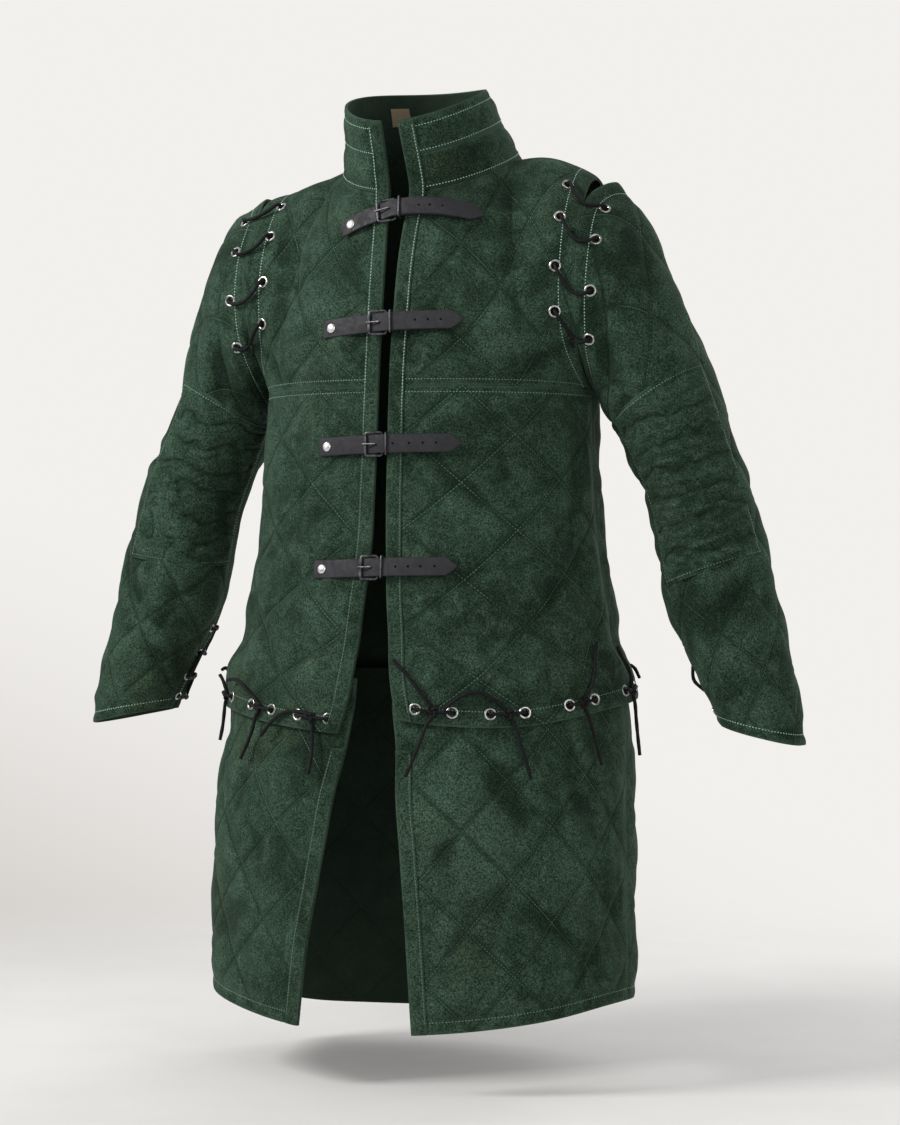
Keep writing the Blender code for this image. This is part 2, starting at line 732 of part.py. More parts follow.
def build_collar(name, heights, material):
    angles = collar_angles()
    outer = grid(collar, angles, heights)
    normals = grid(collar_normal, angles, heights)
    lifts = quilting(len(angles), len(heights)) * 0.6
    return sheet(name, outer, normals, lifts, WALL, material)


def skirt_edge_angle(side, v):
    z = blend(SKIRT_TOP_Z, -0.995, v)
    half_width = smooth_row(SKIRT_RINGS, 0, z)[1]
    return math.asin(side_value(SKIRT_OPENING, side, z) / half_width)


def skirt_front(side, u, v):
    angle = blend(skirt_edge_angle(side, v), math.pi / 2, u)
    return skirt(side * angle, v)


def skirt_front_columns():
    return [0.0] + spaced(STRIP_SHARE * 0.8, 1, SKIRT_FRONT_CELLS, 0, HALF_GAP_SHARE / 2)


def skirt_rows():
    return spaced(0.0, 1.0, SKIRT_ROWS)


def skirt_lifts(columns, shift=0, plain_columns=1):
    """The skirt's quilting, flat where it lies behind the body hem."""
    lifts = quilting(columns, SKIRT_ROWS + 1, shift, plain_columns)
    lifts[:, :3] = 0
    lifts[:, 3] *= 0.5
    return lifts


def build_skirt_front(side, name, material):
    us, vs = skirt_front_columns(), skirt_rows()
    outer = grid(lambda u, v: skirt_front(side, u, v), us, vs)
    angle = lambda u, v: side * blend(skirt_edge_angle(side, v), math.pi / 2, u)
    normals = grid(lambda u, v: skirt_normal(angle(u, v), v), us, vs)
    return sheet(name, outer, normals, skirt_lifts(len(us), -1, 2), WALL, material, (True, True), -1)


def build_skirt_back(material):
    us = spaced(0, 1, SKIRT_BACK_CELLS, HALF_GAP_SHARE / 4, HALF_GAP_SHARE / 4)
    vs = skirt_rows()
    outer = grid(lambda u, v: skirt(back_angle(u), v), us, vs)
    normals = grid(lambda u, v: skirt_normal(back_angle(u), v), us, vs)
    return sheet("skirt_back", outer, normals, skirt_lifts(len(us)), WALL, material, (True, True))


# ---- the sleeves --------------------------------------------------------------------------

def sleeve_grid(side):
    """Outer points and normals of a sleeve, and its quilting, flat under the arm patch."""
    shares = spaced(0, 1, SLEEVE_ROWS)
    columns = range(SLEEVE_COLUMNS + 1)
    outer = grid(lambda c, s: sleeve(side, sleeve_angle(c, s), s), columns, shares)
    normals = grid(lambda c, s: sleeve_normal(side, sleeve_angle(c, s), s), columns, shares)
    lifts = quilting(SLEEVE_COLUMNS + 1, SLEEVE_ROWS + 1)
    patch = next(row for row in PATCHES if row.side == side)
    first_row = PATCH_ROWS[0] - math.ceil(patch.tilt)
    lifts[patch.first_column : patch.last_column + 1, first_row : PATCH_ROWS[1] + 1] = 0
    return outer, normals, lifts


def build_sleeve(side, name, material):
    outer, normals, lifts = sleeve_grid(side)
    return sheet(name, outer, normals, lifts, WALL * 0.9, material, (False, True))


def build_patch(patch, name, material):
    """An arm patch: the sleeve's own points moved out, with raised channels across it."""
    points, facings, _ = sleeve_grid(patch.side)
    columns = range(patch.first_column, patch.last_column + 1)
    count = 2 * (PATCH_ROWS[1] - PATCH_ROWS[0]) + 1
    outer, normals = np.zeros((len(columns), count, 3)), np.zeros((len(columns), count, 3))
    for i, column in enumerate(columns):
        up = patch.tilt * i / (len(columns) - 1)
        for k in range(count):
            row = PATCH_ROWS[0] + k / 2 - up
            low, part = int(row), row - int(row)
            high = min(low + 1, SLEEVE_ROWS)
            outer[i, k] = blend(points[column, low], points[column, high], part)
            normals[i, k] = unit(blend(facings[column, low], facings[column, high], part))
    off = 0.0005 if patch.tilt == 0 else 0.0009
    lifts = np.zeros((len(columns), count))
    lifts[:, 1::2] = CHANNEL_PUFF
    lifts[0, :] *= 0.4
    lifts[-1, :] *= 0.4
    top = outer + normals * (off + PATCH_WALL)
    return sheet(name, top, normals, lifts, PATCH_WALL, material, (False, True))


# ---- edge strips and label ----------------------------------------------------------------

def strip_rows(side):
    """The rows that a body edge strip follows: below the chest, above it, then the collar."""
    under = STRIP_SHARE * 0.92
    around = neck_start(side), blend(neck_start(side), math.pi / 2, under / FRONT_NECK_SHARE)
    rows = []
    for v in lower_rows(0) + upper_rows(0)[1:-1]:
        rows.append([(front(side, u, v), front_normal(side, u, v)) for u in (0.0, under)])
    for height in (0.14, 0.5, 0.98):
        rows.append([(collar(side * a, height), collar_normal(side * a, height)) for a in around])
    return rows


def build_strip(name, rows, material):
    outer = np.array([[place[0] for place in row] for row in rows]).transpose(1, 0, 2)
    normals = np.array([[place[1] for place in row] for row in rows]).transpose(1, 0, 2)
    outer = outer + normals * (SEAM_GAP + 0.0003 + STRIP_WALL)
    return sheet(name, outer, normals, np.zeros(outer.shape[:2]), STRIP_WALL, material)


def skirt_strip_rows(side):
    rows = []
    for v in skirt_rows()[3:]:
        row = []
        for u in (0.0, STRIP_SHARE * 0.74):
            angle = side * blend(skirt_edge_angle(side, v), math.pi / 2, u)
            row.append((skirt(angle, v), skirt_normal(angle, v)))
        rows.append(row)
    return rows


def build_label(material):
    """A blank woven label inside the collar, to the wearer's right of the centre back."""
    angles = [math.radians(219 + turn) for turn in (-8, 0, 8)]
    heights = (0.52, 0.80)
    outer = grid(collar, angles, heights)
    normals = grid(collar_normal, angles, heights)
    inside = outer - normals * (WALL + 0.0012)
    return sheet("label", inside, normals, np.zeros((3, 2)), 0.0006, material)


# ---- straps and buckles -------------------------------------------------------------------

def front_place(x, z):
    """The body's outer face at a given x and z, found by stepping across the front."""
    side = 1 if x >= 0 else -1
    edge = side_value(BODY_OPENING, side, z)
    wanted = max(abs(x), edge)
    u = 0.3
    v = (z - CHEST_Z) / 0.22 if z > CHEST_Z else (z - CHEST_Z) / 0.39
    for _ in range(6):
        here = front(side, u, v)
        across = (front(side, u + 0.01, v) - here) / 0.01
        along = (front(side, u, v + 0.01) - here) / 0.01
        matrix = np.array([[side * across[0], side * along[0]], [across[2], along[2]]])
        miss = np.array([wanted - side * here[0], z - here[2]])
        step = np.linalg.solve(matrix, miss)
        u, v = min(max(u + step[0], -0.02), 1.0), min(max(v + step[1], -1.0), 1.0)
    point, normal = front(side, u, v), front_normal(side, u, min(v, 0.97))
    if abs(x) < edge:
        normal = unit(normal * np.array([0, 1, 1]))
        point = np.array([x, point[1], point[2]])
    return point, normal


def strap_height(strap, x):
    """The strap's centre line: one gentle curve through its rivet, its buckle and its tip."""
    a, b, c = strap.rivet_x, strap.buckle_x, strap.tip_x
    return (
        strap.rivet_z * (x - b) * (x - c) / ((a - b) * (a - c))
        + strap.buckle_z * (x - a) * (x - c) / ((b - a) * (b - c))
        + strap.tip_z * (x - a) * (x - b) / ((c - a) * (c - b))
    )


def strap_frame(strap, x):
    """Centre point, outward direction and upward direction of the strap at x."""
    point, normal = front_place(x, strap_height(strap, x))
    step = 0.004
    ahead, _ = front_place(x + step, strap_height(strap, x + step))
    behind, _ = front_place(x - step, strap_height(strap, x - step))
    along = unit(ahead - behind)
    up = unit(np.cross(along, -normal))
    if up[2] < 0:
        up = -up
    return point, unit(np.cross(up, along)) * np.sign(np.cross(up, along).dot(normal)), up


def band(name, strap, stations, widths, heights, wall, material):
    """A flat leather band along the front; heights are of its underside over the cloth."""
    outer, normals = [], []
    for x, width, height in zip(stations, widths, heights):
        point, out, up = strap_frame(strap, x)
        top = point + out * (height + wall)
        outer.append([top - up * width / 2, top + up * width / 2])
        normals.append([out, out])
    outer, normals = np.array(outer), np.array(normals)
    return sheet(name, outer, normals, np.zeros(outer.shape[:2]), wall, material)


def low_height():
    """Underside of whatever lies straight on the quilting."""
    return PUFF + CLEAR


def high_height():
    """Underside of the strap where it runs over its chape."""
    return low_height() + STRAP_WALL + SEAM_GAP


def rivet_pull(strap, x):
    """How far the rivet presses the strap down at x; none by the buckle."""
    return strap.pull * (1 - ease((x - strap.rivet_x) / (strap.buckle_x - 0.012 - strap.rivet_x)))


def build_strap(number, strap, material):
    start, end = strap.rivet_x - 0.012, strap.tip_x
    over = strap.buckle_x - BUCKLE_LENGTH / 2 + 0.0035
    down = strap.buckle_x + BUCKLE_LENGTH / 2 - 0.0030
    stations = list(np.linspace(start, over, 7)) + [(over + down) / 2]
    stations += list(np.linspace(down, end - 0.012, 9))
    widths = [STRAP_WIDTH] * len(stations)
    heights = [blend(low_height(), high_height() + 0.0006, ease((x - over) / (down - over)))
               - rivet_pull(strap, x) for x in stations]
    for back_off, share in ((0.006, 0.80), (0.0, 0.22)):
        stations.append(end - back_off)
        widths.append(STRAP_WIDTH * share)
        heights.append(high_height() + 0.0006)
    return band(f"strap_{number}", strap, stations, widths, heights, STRAP_WALL, material)


def build_chape(number, strap, material):
    start = strap.buckle_x + BUCKLE_LENGTH / 2 + BUCKLE_WIRE / 2 + 0.0009
    stations = list(np.linspace(start, strap.chape_x, 7))
    heights = [low_height()] * len(stations)
    widths = [STRAP_WIDTH * 0.94] * len(stations)
    return band(f"chape_{number}", strap, stations, widths, heights, STRAP_WALL, material)


def bar_mesh(name, path, outs, wide, thick, material, closed):
    """A bent bar of rectangular section along a path, closed into a ring or with flat ends."""
    count = len(path)
    points, faces = [], []
    for k, (point, out) in enumerate(zip(path, outs)):
        before = path[k - 1] if closed or k > 0 else point
        after = path[(k + 1) % count] if closed or k < count - 1 else point
        along = unit(after - before)
        out = unit(out - along * along.dot(out))
        across = np.cross(along, out)
        turn = 1.0
        if closed or 0 < k < count - 1:
            bend = unit(point - before).dot(unit(after - point))
            turn = 1 / max(math.sqrt((1 + bend) / 2), 0.5)
        for a, b in ((-1, -1), (1, -1), (1, 1), (-1, 1)):
            points.append(point + across * a * wide / 2 * turn + out * b * thick / 2)
    for k in range(count if closed else count - 1):
        near, far = 4 * k, 4 * ((k + 1) % count)
        for c in range(4):
            d = (c + 1) % 4
            faces += [(near + c, near + d, far + d), (near + c, far + d, far + c)]
    if not closed:
        end = 4 * (count - 1)
        faces += [(0, 2, 1), (0, 3, 2), (end, end + 1, end + 2), (end, end + 2, end + 3)]
    return make_object(name, points, faces, material)


def build_buckle(number, strap, material):
    """The frame: one bar over the strap, its other bar level with the chape."""
    half_tall = STRAP_WIDTH / 2 + 0.0011 + BUCKLE_WIRE / 2
    left = strap.buckle_x - BUCKLE_LENGTH / 2
    right = strap.buckle_x + BUCKLE_LENGTH / 2
    over = low_height() + STRAP_WALL + SEAM_GAP + BUCKLE_WIRE / 2
    under = low_height() + BUCKLE_WIRE / 2 - 0.0006
    corners = ((left, -1, over), (left, 1, over), (right, 1, under), (right, -1, under))
    path, outs = [], []
    for x, side, height in corners:
        point, out, up = strap_frame(strap, x)
        path.append(point + out * height + up * side * half_tall)
        outs.append(out)
    return bar_mesh(f"buckle_{number}", path, outs, BUCKLE_WIRE, BUCKLE_WIRE * 0.85, material, True)


def build_prong(number, strap, material):
    """The prong, from where it comes up through the strap to its tip on the frame."""
    left = strap.buckle_x - BUCKLE_LENGTH / 2
    over = low_height() + STRAP_WALL + 2 * SEAM_GAP + BUCKLE_WIRE + 0.0010
    mid = high_height() + STRAP_WALL + SEAM_GAP + 0.0015
    path, outs = [], []
    for x, height in ((left - 0.0022, over), (left + 0.008, over + 0.0001), (left + 0.0135, mid + 0.0004)):
        point, out, _ = strap_frame(strap, x)
        path.append(point + out * height)
        outs.append(out)
    return bar_mesh(f"prong_{number}", path, outs, 0.0022, 0.0016, material, False)


def build_keeper(number, strap, material):
    """The wire loop that holds the strap down on its chape; its legs stand on the cloth."""
    x = strap.buckle_x + BUCKLE_LENGTH / 2 + 0.0065
    point, out, up = strap_frame(strap, x)
    half_tall = STRAP_WIDTH / 2 + 0.0018
    top = high_height() + 0.0006 + STRAP_WALL + 2 * CLEAR + 0.0012
    foot = low_height() + 0.0001
    path = [
        point + out * foot - up * half_tall,
        point + out * top - up * half_tall,
        point + out * top + up * half_tall,
        point + out * foot + up * half_tall,
    ]
    along = np.cross(up, out)
    return bar_mesh(f"keeper_{number}", path, [along] * 4, 0.0016, 0.0022, material, False)


def build_rivet(number, strap, material):
    """A low domed cap on the strap's sewn end."""
    point, out, up = strap_frame(strap, strap.rivet_x)
    along = np.cross(up, out)
    base = point + out * (low_height() + STRAP_WALL + SEAM_GAP - strap.pull)
    sides = 14
    points, faces = [], []
    for radius, rise in ((0.0055, 0.0), (0.0050, 0.0014), (0.0026, 0.0024)):
        for k in range(sides):
            turn = 2 * math.pi * k / sides
            flat = along * math.cos(turn) + up * math.sin(turn)
            points.append(base + flat * radius + out * rise)
    for level in range(2):
        for k in range(sides):
            a, b = level * sides + k, level * sides + (k + 1) % sides
            faces += [(a, b, b + sides), (a, b + sides, a + sides)]
    points += [base, base + out * 0.0027]
    low, high = len(points) - 2, len(points) - 1
    for k in range(sides):
        a, b = k, (k + 1) % sides
        faces += [(low, b, a), (high, a + 2 * sides, b + 2 * sides)]
    return make_object(f"rivet_{number}", points, faces, material)


# ---- thongs -------------------------------------------------------------------------------

def evenly(points, spacing):
    """Places along a smooth curve through the points, one every spacing."""
    points = np.array(points)
    steps = np.linalg.norm(np.diff(points, axis=0), axis=1)
    knots = np.concatenate([[0], np.cumsum(steps)])
    table = np.column_stack([knots, points])
    count = max(int(round(knots[-1] / spacing)), 3)
    return [smooth_row(table, 0, knots[-1] * k / count)[1:] for k in range(count + 1)]


def thong(name, points, material):
    curve = bpy.data.curves.new(name, "CURVE")
    curve.dimensions = "3D"
    curve.bevel_depth = THONG / 2
    curve.bevel_resolution = 2
    curve.render_resolution_u = 0
    curve.use_fill_caps = True
    spline = curve.splines.new("POLY")
    spline.points.add(len(points) - 1)
    for place, point in zip(spline.points, points):
        place.co = (*point, 1.0)
    curve.materials.append(material)
    obj = bpy.data.objects.new(name, curve)
    bpy.context.scene.collection.objects.link(obj)
    return obj


def waist_place(angle, z, stand_off):
    """A place off the cloth at the waist: over the body above its hem, over the skirt below."""
    outward = unit(np.array([math.sin(angle) / 1.4, -math.cos(angle), 0]))
    hem = body_hem_z(angle)
    body = ring_point(TORSO_RINGS, angle, max(z, hem))
    body = body + outward * PUFF * ease((z - hem - TIE_ABOVE_HEM - 0.003) / 0.020)
    low = min(z, hem - 0.001)
    under = ring_point(SKIRT_RINGS, angle, low) + outward * (PUFF + 0.003)
    under[0] += skirt_lean(low)
    reach = body if z > hem or np.dot(body - under, outward) > 0 else under
    place = reach + outward * (THONG / 2 + CLEAR + stand_off)
    return np.array([place[0], place[1], z])


def tie_path(tie):
    angle = math.radians(tie.angle)
    knot_z = body_hem_z(angle) + TIE_ABOVE_HEM
    radius = 0.235 if abs(math.sin(angle)) < 0.5 else 0.20

    def tail(along, up, bow):
        places = []
        for share in (0.25, 0.5, 0.75, 1.0):
            rise = up * share + bow * math.sin(math.pi * share)
            stand = 0.004 * share**2
            turn = angle + along * share / radius
            places.append(waist_place(turn, knot_z + rise, stand))
        return places

    knot = waist_place(angle, knot_z, -CLEAR - tie.press)
    ends = tail(tie.a_along, tie.a_up, tie.a_bow)[::-1]
    return evenly(ends + [knot] + tail(tie.b_along, tie.b_up, tie.b_bow), THONG_STEP)


def shoulder_place(side, degrees, out, extra=0.0):
    """Off the cloth round an armhole: out is along the sleeve, or on the body if negative."""
    angle = math.radians(degrees)
    lift = THONG / 2 + 0.0008 + abs(out) * 0.19 + extra
    if out >= 0:
        span = np.linalg.norm(sleeve(side, angle, 0.05) - sleeve(side, angle, 0)) / 0.05
        share = out / span
        return sleeve(side, angle, share) + sleeve_normal(side, angle, max(share, 0.01)) * lift
    v = 1 - abs(degrees) / 180
    if degrees >= 0:
        width = np.linalg.norm(front(side, 1, v) - front(side, 0.95, v)) / 0.05
        u = 1 + out / width
        return front(side, u, v) + front_normal(side, u, min(v, 0.97)) * lift
    width = np.linalg.norm(back(0, v) - back(0.03, v)) / 0.03
    u = -out / width if side > 0 else 1 + out / width
    return back(u, v) + back_normal(u, min(v, 0.97)) * lift


def shoulder_lace_path(side):
    """Zigzag up from the underarm, along the sleeve's head over the shoulder, down the back."""
    reach = EYELET_FROM_EDGE
    stops = [(138, -0.008), (129, -0.016)]
    for degrees in FRONT_EYELETS:
        stops += [(degrees, -reach), (degrees, reach)]
    stops += [(12, 0.014), (-18, 0.014)]
    for degrees in BACK_EYELETS:
        stops += [(degrees, reach), (degrees, -reach)]
    stops += [(-112, -0.010), (-122, -0.004)]
    path = []
    for (d0, o0), (d1, o1) in zip(stops, stops[1:]):
        for share in (0.0, 0.25, 0.5, 0.75):
            dip = 10 * math.sin(math.pi * share) if d0 == d1 else 0
            degrees = blend(d0, d1, share) + math.copysign(dip, d0)
            raised = 0.0014 * ease((degrees - 95) / 20)
            path.append(shoulder_place(side, degrees, blend(o0, o1, share), raised))
    path.append(shoulder_place(side, *stops[-1]))
    return evenly(path, THONG_STEP)


def cuff_lace_path(side):
    """Back and forth across the forearm slit."""
    seam = math.radians(SLEEVE_SEAM_DEG)
    path = []
    for k, share in enumerate(CUFF_RUNGS):
        reach = slit_half_angle(share) + CUFF_REACH / FOREARM_RADIUS
        first = -reach if k % 2 == 0 else reach
        for part in (0.0, 0.25, 0.5, 0.75, 1.0):
            angle = seam + blend(first, -first, part)
            lift = THONG / 2 + 2 * CLEAR + PUFF * 0.5
            path.append(sleeve(side, angle, share) + sleeve_normal(side, angle, share) * lift)
    return evenly(path, THONG_STEP)


# ---- the whole garment --------------------------------------------------------------------

def make_materials():
    materials = {}
    for name, finish in FINISHES.items():
        material = bpy.data.materials.new(name)
        material.use_nodes = True
        shader = material.node_tree.nodes["Principled BSDF"]
        shader.inputs["Base Color"].default_value = (*finish.color, 1.0)
        shader.inputs["Roughness"].default_value = finish.roughness
        shader.inputs["Metallic"].default_value = finish.metallic
        material.diffuse_color = (*finish.color, 1.0)
        materials[name] = material
    return materials


SIDE_NAMES = {1: "left", -1: "right"}


def build_cloth(materials):
    suede = materials["suede"]
    gap = HALF_GAP_SHARE
    for side, word in SIDE_NAMES.items():
        build_front(side, f"front_lower_{word}", lower_rows(gap * 0.6), suede)
        build_front(side, f"front_upper_{word}", upper_rows(gap), suede)
        build_sleeve(side, f"sleeve_{word}", suede)
        build_skirt_front(side, f"skirt_front_{word}", suede)
    build_back(suede)
    build_skirt_back(suede)
    build_collar("collar_lower", (0.006, 0.25, 0.498), suede)
    build_collar("collar_upper", (0.502, 0.75, 1.0), suede)
    for patch in PATCHES:
        build_patch(patch, f"arm_patch_{SIDE_NAMES[patch.side]}", suede)
    for side, word in SIDE_NAMES.items():
        build_strip(f"edge_strip_{word}", strip_rows(side), materials["edge_suede"])
        build_strip(f"skirt_strip_{word}", skirt_strip_rows(side), materials["edge_suede"])
    build_label(materials["label_cloth"])


def build_closures(materials):
    for number, strap in enumerate(STRAPS, 1):
        build_strap(number, strap, materials["strap_leather"])
        build_chape(number, strap, materials["strap_leather"])
        build_buckle(number, strap, materials["buckle_metal"])
        build_prong(number, strap, materials["buckle_metal"])
        build_keeper(number, strap, materials["buckle_metal"])
        build_rivet(number, strap, materials["rivet_metal"])


def build_thongs(materials):
    leather = materials["thong_leather"]
    for number, tie in enumerate(TIES, 1):
        thong(f"tie_{number:02d}", tie_path(tie), leather)
    for side, word in SIDE_NAMES.items():
        thong(f"shoulder_lace_{word}", shoulder_lace_path(side), leather)
        thong(f"cuff_lace_{word}", cuff_lace_path(side), leather)


def main():
    clear_scene()
    materials = make_materials()
    build_cloth(materials)
    build_closures(materials)
    build_thongs(materials)


main()
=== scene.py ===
# %% [markdown]
# # A quilted gambeson in green suede
# This lesson dresses the solid model of a padded coat: a stand collar, a front closed by four
# straps, sleeves laced on at the shoulder, and a skirt tied inside the hem of the body.
# It is laid out as short steps. Each one says what the piece is on a real coat, how a maker
# would cut and sew it, and why it is drawn the way it is here.
# Lengths are metres, +Z is up, the front faces -Y and the wearer's left arm is at +X.

# %% Load the solid model
import json
import math
from collections import namedtuple
from functools import lru_cache

import bpy
import numpy as np
from mathutils import Matrix, Vector

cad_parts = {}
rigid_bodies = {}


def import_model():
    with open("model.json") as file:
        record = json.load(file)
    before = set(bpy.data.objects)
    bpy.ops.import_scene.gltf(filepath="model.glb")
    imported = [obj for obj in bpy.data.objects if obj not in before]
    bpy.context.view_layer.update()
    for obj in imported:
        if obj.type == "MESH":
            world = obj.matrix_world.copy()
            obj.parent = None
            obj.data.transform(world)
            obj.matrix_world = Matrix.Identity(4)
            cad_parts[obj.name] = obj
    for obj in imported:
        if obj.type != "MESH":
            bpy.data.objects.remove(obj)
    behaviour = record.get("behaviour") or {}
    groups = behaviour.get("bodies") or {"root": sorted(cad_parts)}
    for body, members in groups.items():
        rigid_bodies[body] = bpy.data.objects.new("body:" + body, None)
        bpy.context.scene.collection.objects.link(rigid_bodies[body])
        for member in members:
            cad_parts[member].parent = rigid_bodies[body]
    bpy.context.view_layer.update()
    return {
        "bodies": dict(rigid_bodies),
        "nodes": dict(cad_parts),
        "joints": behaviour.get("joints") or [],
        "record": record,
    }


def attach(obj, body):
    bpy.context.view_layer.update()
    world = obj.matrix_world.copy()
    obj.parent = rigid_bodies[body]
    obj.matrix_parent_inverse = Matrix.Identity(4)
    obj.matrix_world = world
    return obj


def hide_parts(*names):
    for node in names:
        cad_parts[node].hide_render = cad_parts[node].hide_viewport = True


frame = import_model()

# %% [markdown]
# ## Where the viewer stands
# A coat is looked at from a few paces away and from chest height, turned a little so that
# one arm comes forward. A long view keeps the sleeves from looking bigger than they are.

# %% The camera
TURN = math.radians(22)          # the viewer stands to the coat's left of straight in front
DISTANCE, EYE_Z = 3.2, -0.47
FOCAL_LENGTH, FILM_WIDTH = 87.5, 36.0    # millimetres
SIDE_SHIFT = 20 / 1125           # slides the view sideways, as a share of its longer side
ROLL = math.radians(0.45)        # the view isn't quite level
data = bpy.data.cameras.new("camera")
data.lens, data.sensor_width = FOCAL_LENGTH, FILM_WIDTH
data.shift_x = SIDE_SHIFT
camera = bpy.data.objects.new("camera", data)
bpy.context.scene.collection.objects.link(camera)
camera.matrix_world = (
    Matrix.Translation((DISTANCE * math.sin(TURN), -DISTANCE * math.cos(TURN), EYE_Z))
    @ Matrix.Rotation(TURN, 4, "Z")
    @ Matrix.Rotation(math.radians(90), 4, "X")
    @ Matrix.Rotation(ROLL, 4, "Z")
)
bpy.context.scene.camera = camera
print("camera at", [round(x, 2) for x in camera.matrix_world.translation])

# %% [markdown]
# ## The form of the coat
# The cloth hangs on the same form as the solids: level ovals down the body and the skirt, a
# neckline and an armhole that are single closed curves, and sections down the sleeve. The
# solids are coarse, so the curves are read here again at any fineness. Every function takes
# whole arrays of places at once, which keeps a panel of forty thousand points quick.

# %% Small helpers
PI = math.pi
WORDS = {1: "left", -1: "right"}         # a side's number, and its word in the names of pieces


def blend(a, b, share):
    return a + (b - a) * share


def ease(share):
    share = np.clip(share, 0.0, 1.0)
    return share * share * (3 - 2 * share)


def unit(vectors):
    vectors = np.asarray(vectors, float)
    return vectors / np.maximum(np.linalg.norm(vectors, axis=-1, keepdims=True), 1e-12)


@lru_cache(None)
def with_slopes(table):
    rows = np.array(table, dtype=float)
    return rows, rows[:, 0].copy(), np.gradient(rows, rows[:, 0], axis=0)


def smooth(table, x):
    """A table's other columns at x, on a smooth curve; the first column is the key and rises."""
    table, knots, slopes = with_slopes(table)
    x = np.clip(np.asarray(x, float), knots[0], knots[-1])
    k = np.clip(np.searchsorted(knots, x) - 1, 0, len(knots) - 2)
    span = (knots[k + 1] - knots[k])[..., None]
    t = (x - knots[k])[..., None] / span
    value = (2 * t**3 - 3 * t**2 + 1) * table[k] + (t**3 - 2 * t**2 + t) * span * slopes[k]
    value = value + (3 * t**2 - 2 * t**3) * table[k + 1] + (t**3 - t**2) * span * slopes[k + 1]
    return np.moveaxis(value, -1, 0)[1:]


def xyz(x, y, z):
    return np.stack(np.broadcast_arrays(x, y, z), axis=-1)


def mirrored(points, side):
    return points * np.array([side, 1.0, 1.0])


def walk(points):
    """How far along a line each of its points lies."""
    return np.concatenate([[0], np.cumsum(np.linalg.norm(np.diff(points, axis=0), axis=1))])


def read_along(stops, walked, values):
    """The three numbers of each value, read at some stops along a line."""
    return np.stack([np.interp(stops, walked, values[:, k]) for k in range(3)], axis=-1)


# %% The body, the collar and the skirt
CHEST_Z, SKIRT_TOP_Z, LOWEST_HEM_Z, TIE_ABOVE_HEM = -0.272, -0.600, -0.663, 0.0155
PUFF, WALL = 0.0040, 0.0040
SHOULDER_RISE = {1: 0.015, -1: -0.002}
COLLAR_LEAN, SKIRT_LEAN = -0.008, -0.008     # worn a little towards the wearer's right
NECK_SHARE = 0.6                 # of a panel's width at the top, the neckline's part

# z, half width, half depth
TORSO_RINGS = (
    (-0.665, 0.2520, 0.1775), (-0.595, 0.2450, 0.1725), (-0.560, 0.2260, 0.1635),
    (-0.525, 0.2210, 0.1600), (-0.490, 0.2140, 0.1545), (-0.450, 0.2080, 0.1495),
    (-0.390, 0.2030, 0.1465), (-0.340, 0.2000, 0.1445), (-0.272, 0.1990, 0.1440),
)
SKIRT_RINGS = (
    (-1.030, 0.2540, 0.1890), (-0.860, 0.2520, 0.1860), (-0.760, 0.2510, 0.1840),
    (-0.720, 0.2486, 0.1806), (-0.690, 0.2441, 0.1751), (-0.664, 0.2428, 0.1722),
    (-0.645, 0.2410, 0.1702), (-0.630, 0.2388, 0.1680), (-0.600, 0.2330, 0.1625),
)
# z, then how far the wearer's right and left front edges stand from the centre line
BODY_OPENING = (
    (-0.665, 0.0400, 0.0320), (-0.630, 0.0290, 0.0250), (-0.560, 0.0200, 0.0158),
    (-0.500, 0.0150, 0.0100), (-0.450, 0.0112, 0.0070), (-0.370, 0.0090, 0.0060),
    (-0.272, 0.0066, 0.0070), (-0.190, 0.0050, 0.0098), (-0.117, 0.0068, 0.0110),
    (-0.051, 0.0112, 0.0150),
)
SKIRT_OPENING = (
    (-1.000, 0.0765, 0.0640), (-0.905, 0.0660, 0.0570), (-0.830, 0.0520, 0.0510),
    (-0.760, 0.0390, 0.0445), (-0.690, 0.0315, 0.0327), (-0.630, 0.0230, 0.0230),
)
# degrees round from the centre front by the wearer's left, then the body hem's height
BODY_HEM = (
    (0, -0.640), (6, -0.643), (13, -0.648), (23, -0.651), (33, -0.652), (45, -0.649),
    (55, -0.643), (70, -0.634), (90, -0.626), (180, -0.630), (270, -0.635), (303, -0.643),
    (330, -0.655), (347, -0.661), (360, LOWEST_HEM_Z),
)
# degrees round the back from the wearer's left side, then the hem's drop below the side seams
BACK_HEM = (
    (90, 0.000), (112, 0.004), (135, 0.020), (160, 0.042), (185, 0.051),
    (211, 0.052), (232, 0.045), (250, 0.028), (262, 0.010), (270, 0.000),
)


def on_ring(rings, angle, z):
    half_width, half_depth = smooth(rings, z)
    return xyz(half_width * np.sin(angle), -half_depth * np.cos(angle), z)


def body_hem_z(angle):
    return smooth(BODY_HEM, np.degrees(angle) % 360)[0]


def skirt_hem_z(angle):
    degrees = np.degrees(angle) % 360
    behind = smooth(BACK_HEM, degrees)[0]
    return -0.965 - np.where((degrees > 90) & (degrees < 270), behind, 0.028 * np.cos(angle) ** 2)


def side_value(table, side, key):
    right, left = smooth(table, key)
    return left if side > 0 else right


def neckline(angle):
    c = np.cos(angle)
    return xyz(0.104 * np.sin(angle), -0.005 - 0.100 * c, -0.005 - 0.0355 * c - 0.0105 * c * c)


def neck_start(side):
    return math.asin(float(side_value(BODY_OPENING, side, -0.051)) / 0.104)


def collar(angle, height):
    c = np.cos(angle)
    top = xyz(COLLAR_LEAN + 0.0825 * np.sin(angle), -0.036 - 0.0845 * c, 0.070 - 0.029 * c - 0.012 * c * c)
    hollow = 0.0015 * np.sin(PI * height)
    point = blend(neckline(angle), top, np.asarray(height, float)[..., None])
    return point - xyz(hollow * np.sin(angle), -hollow * c, 0 * c)


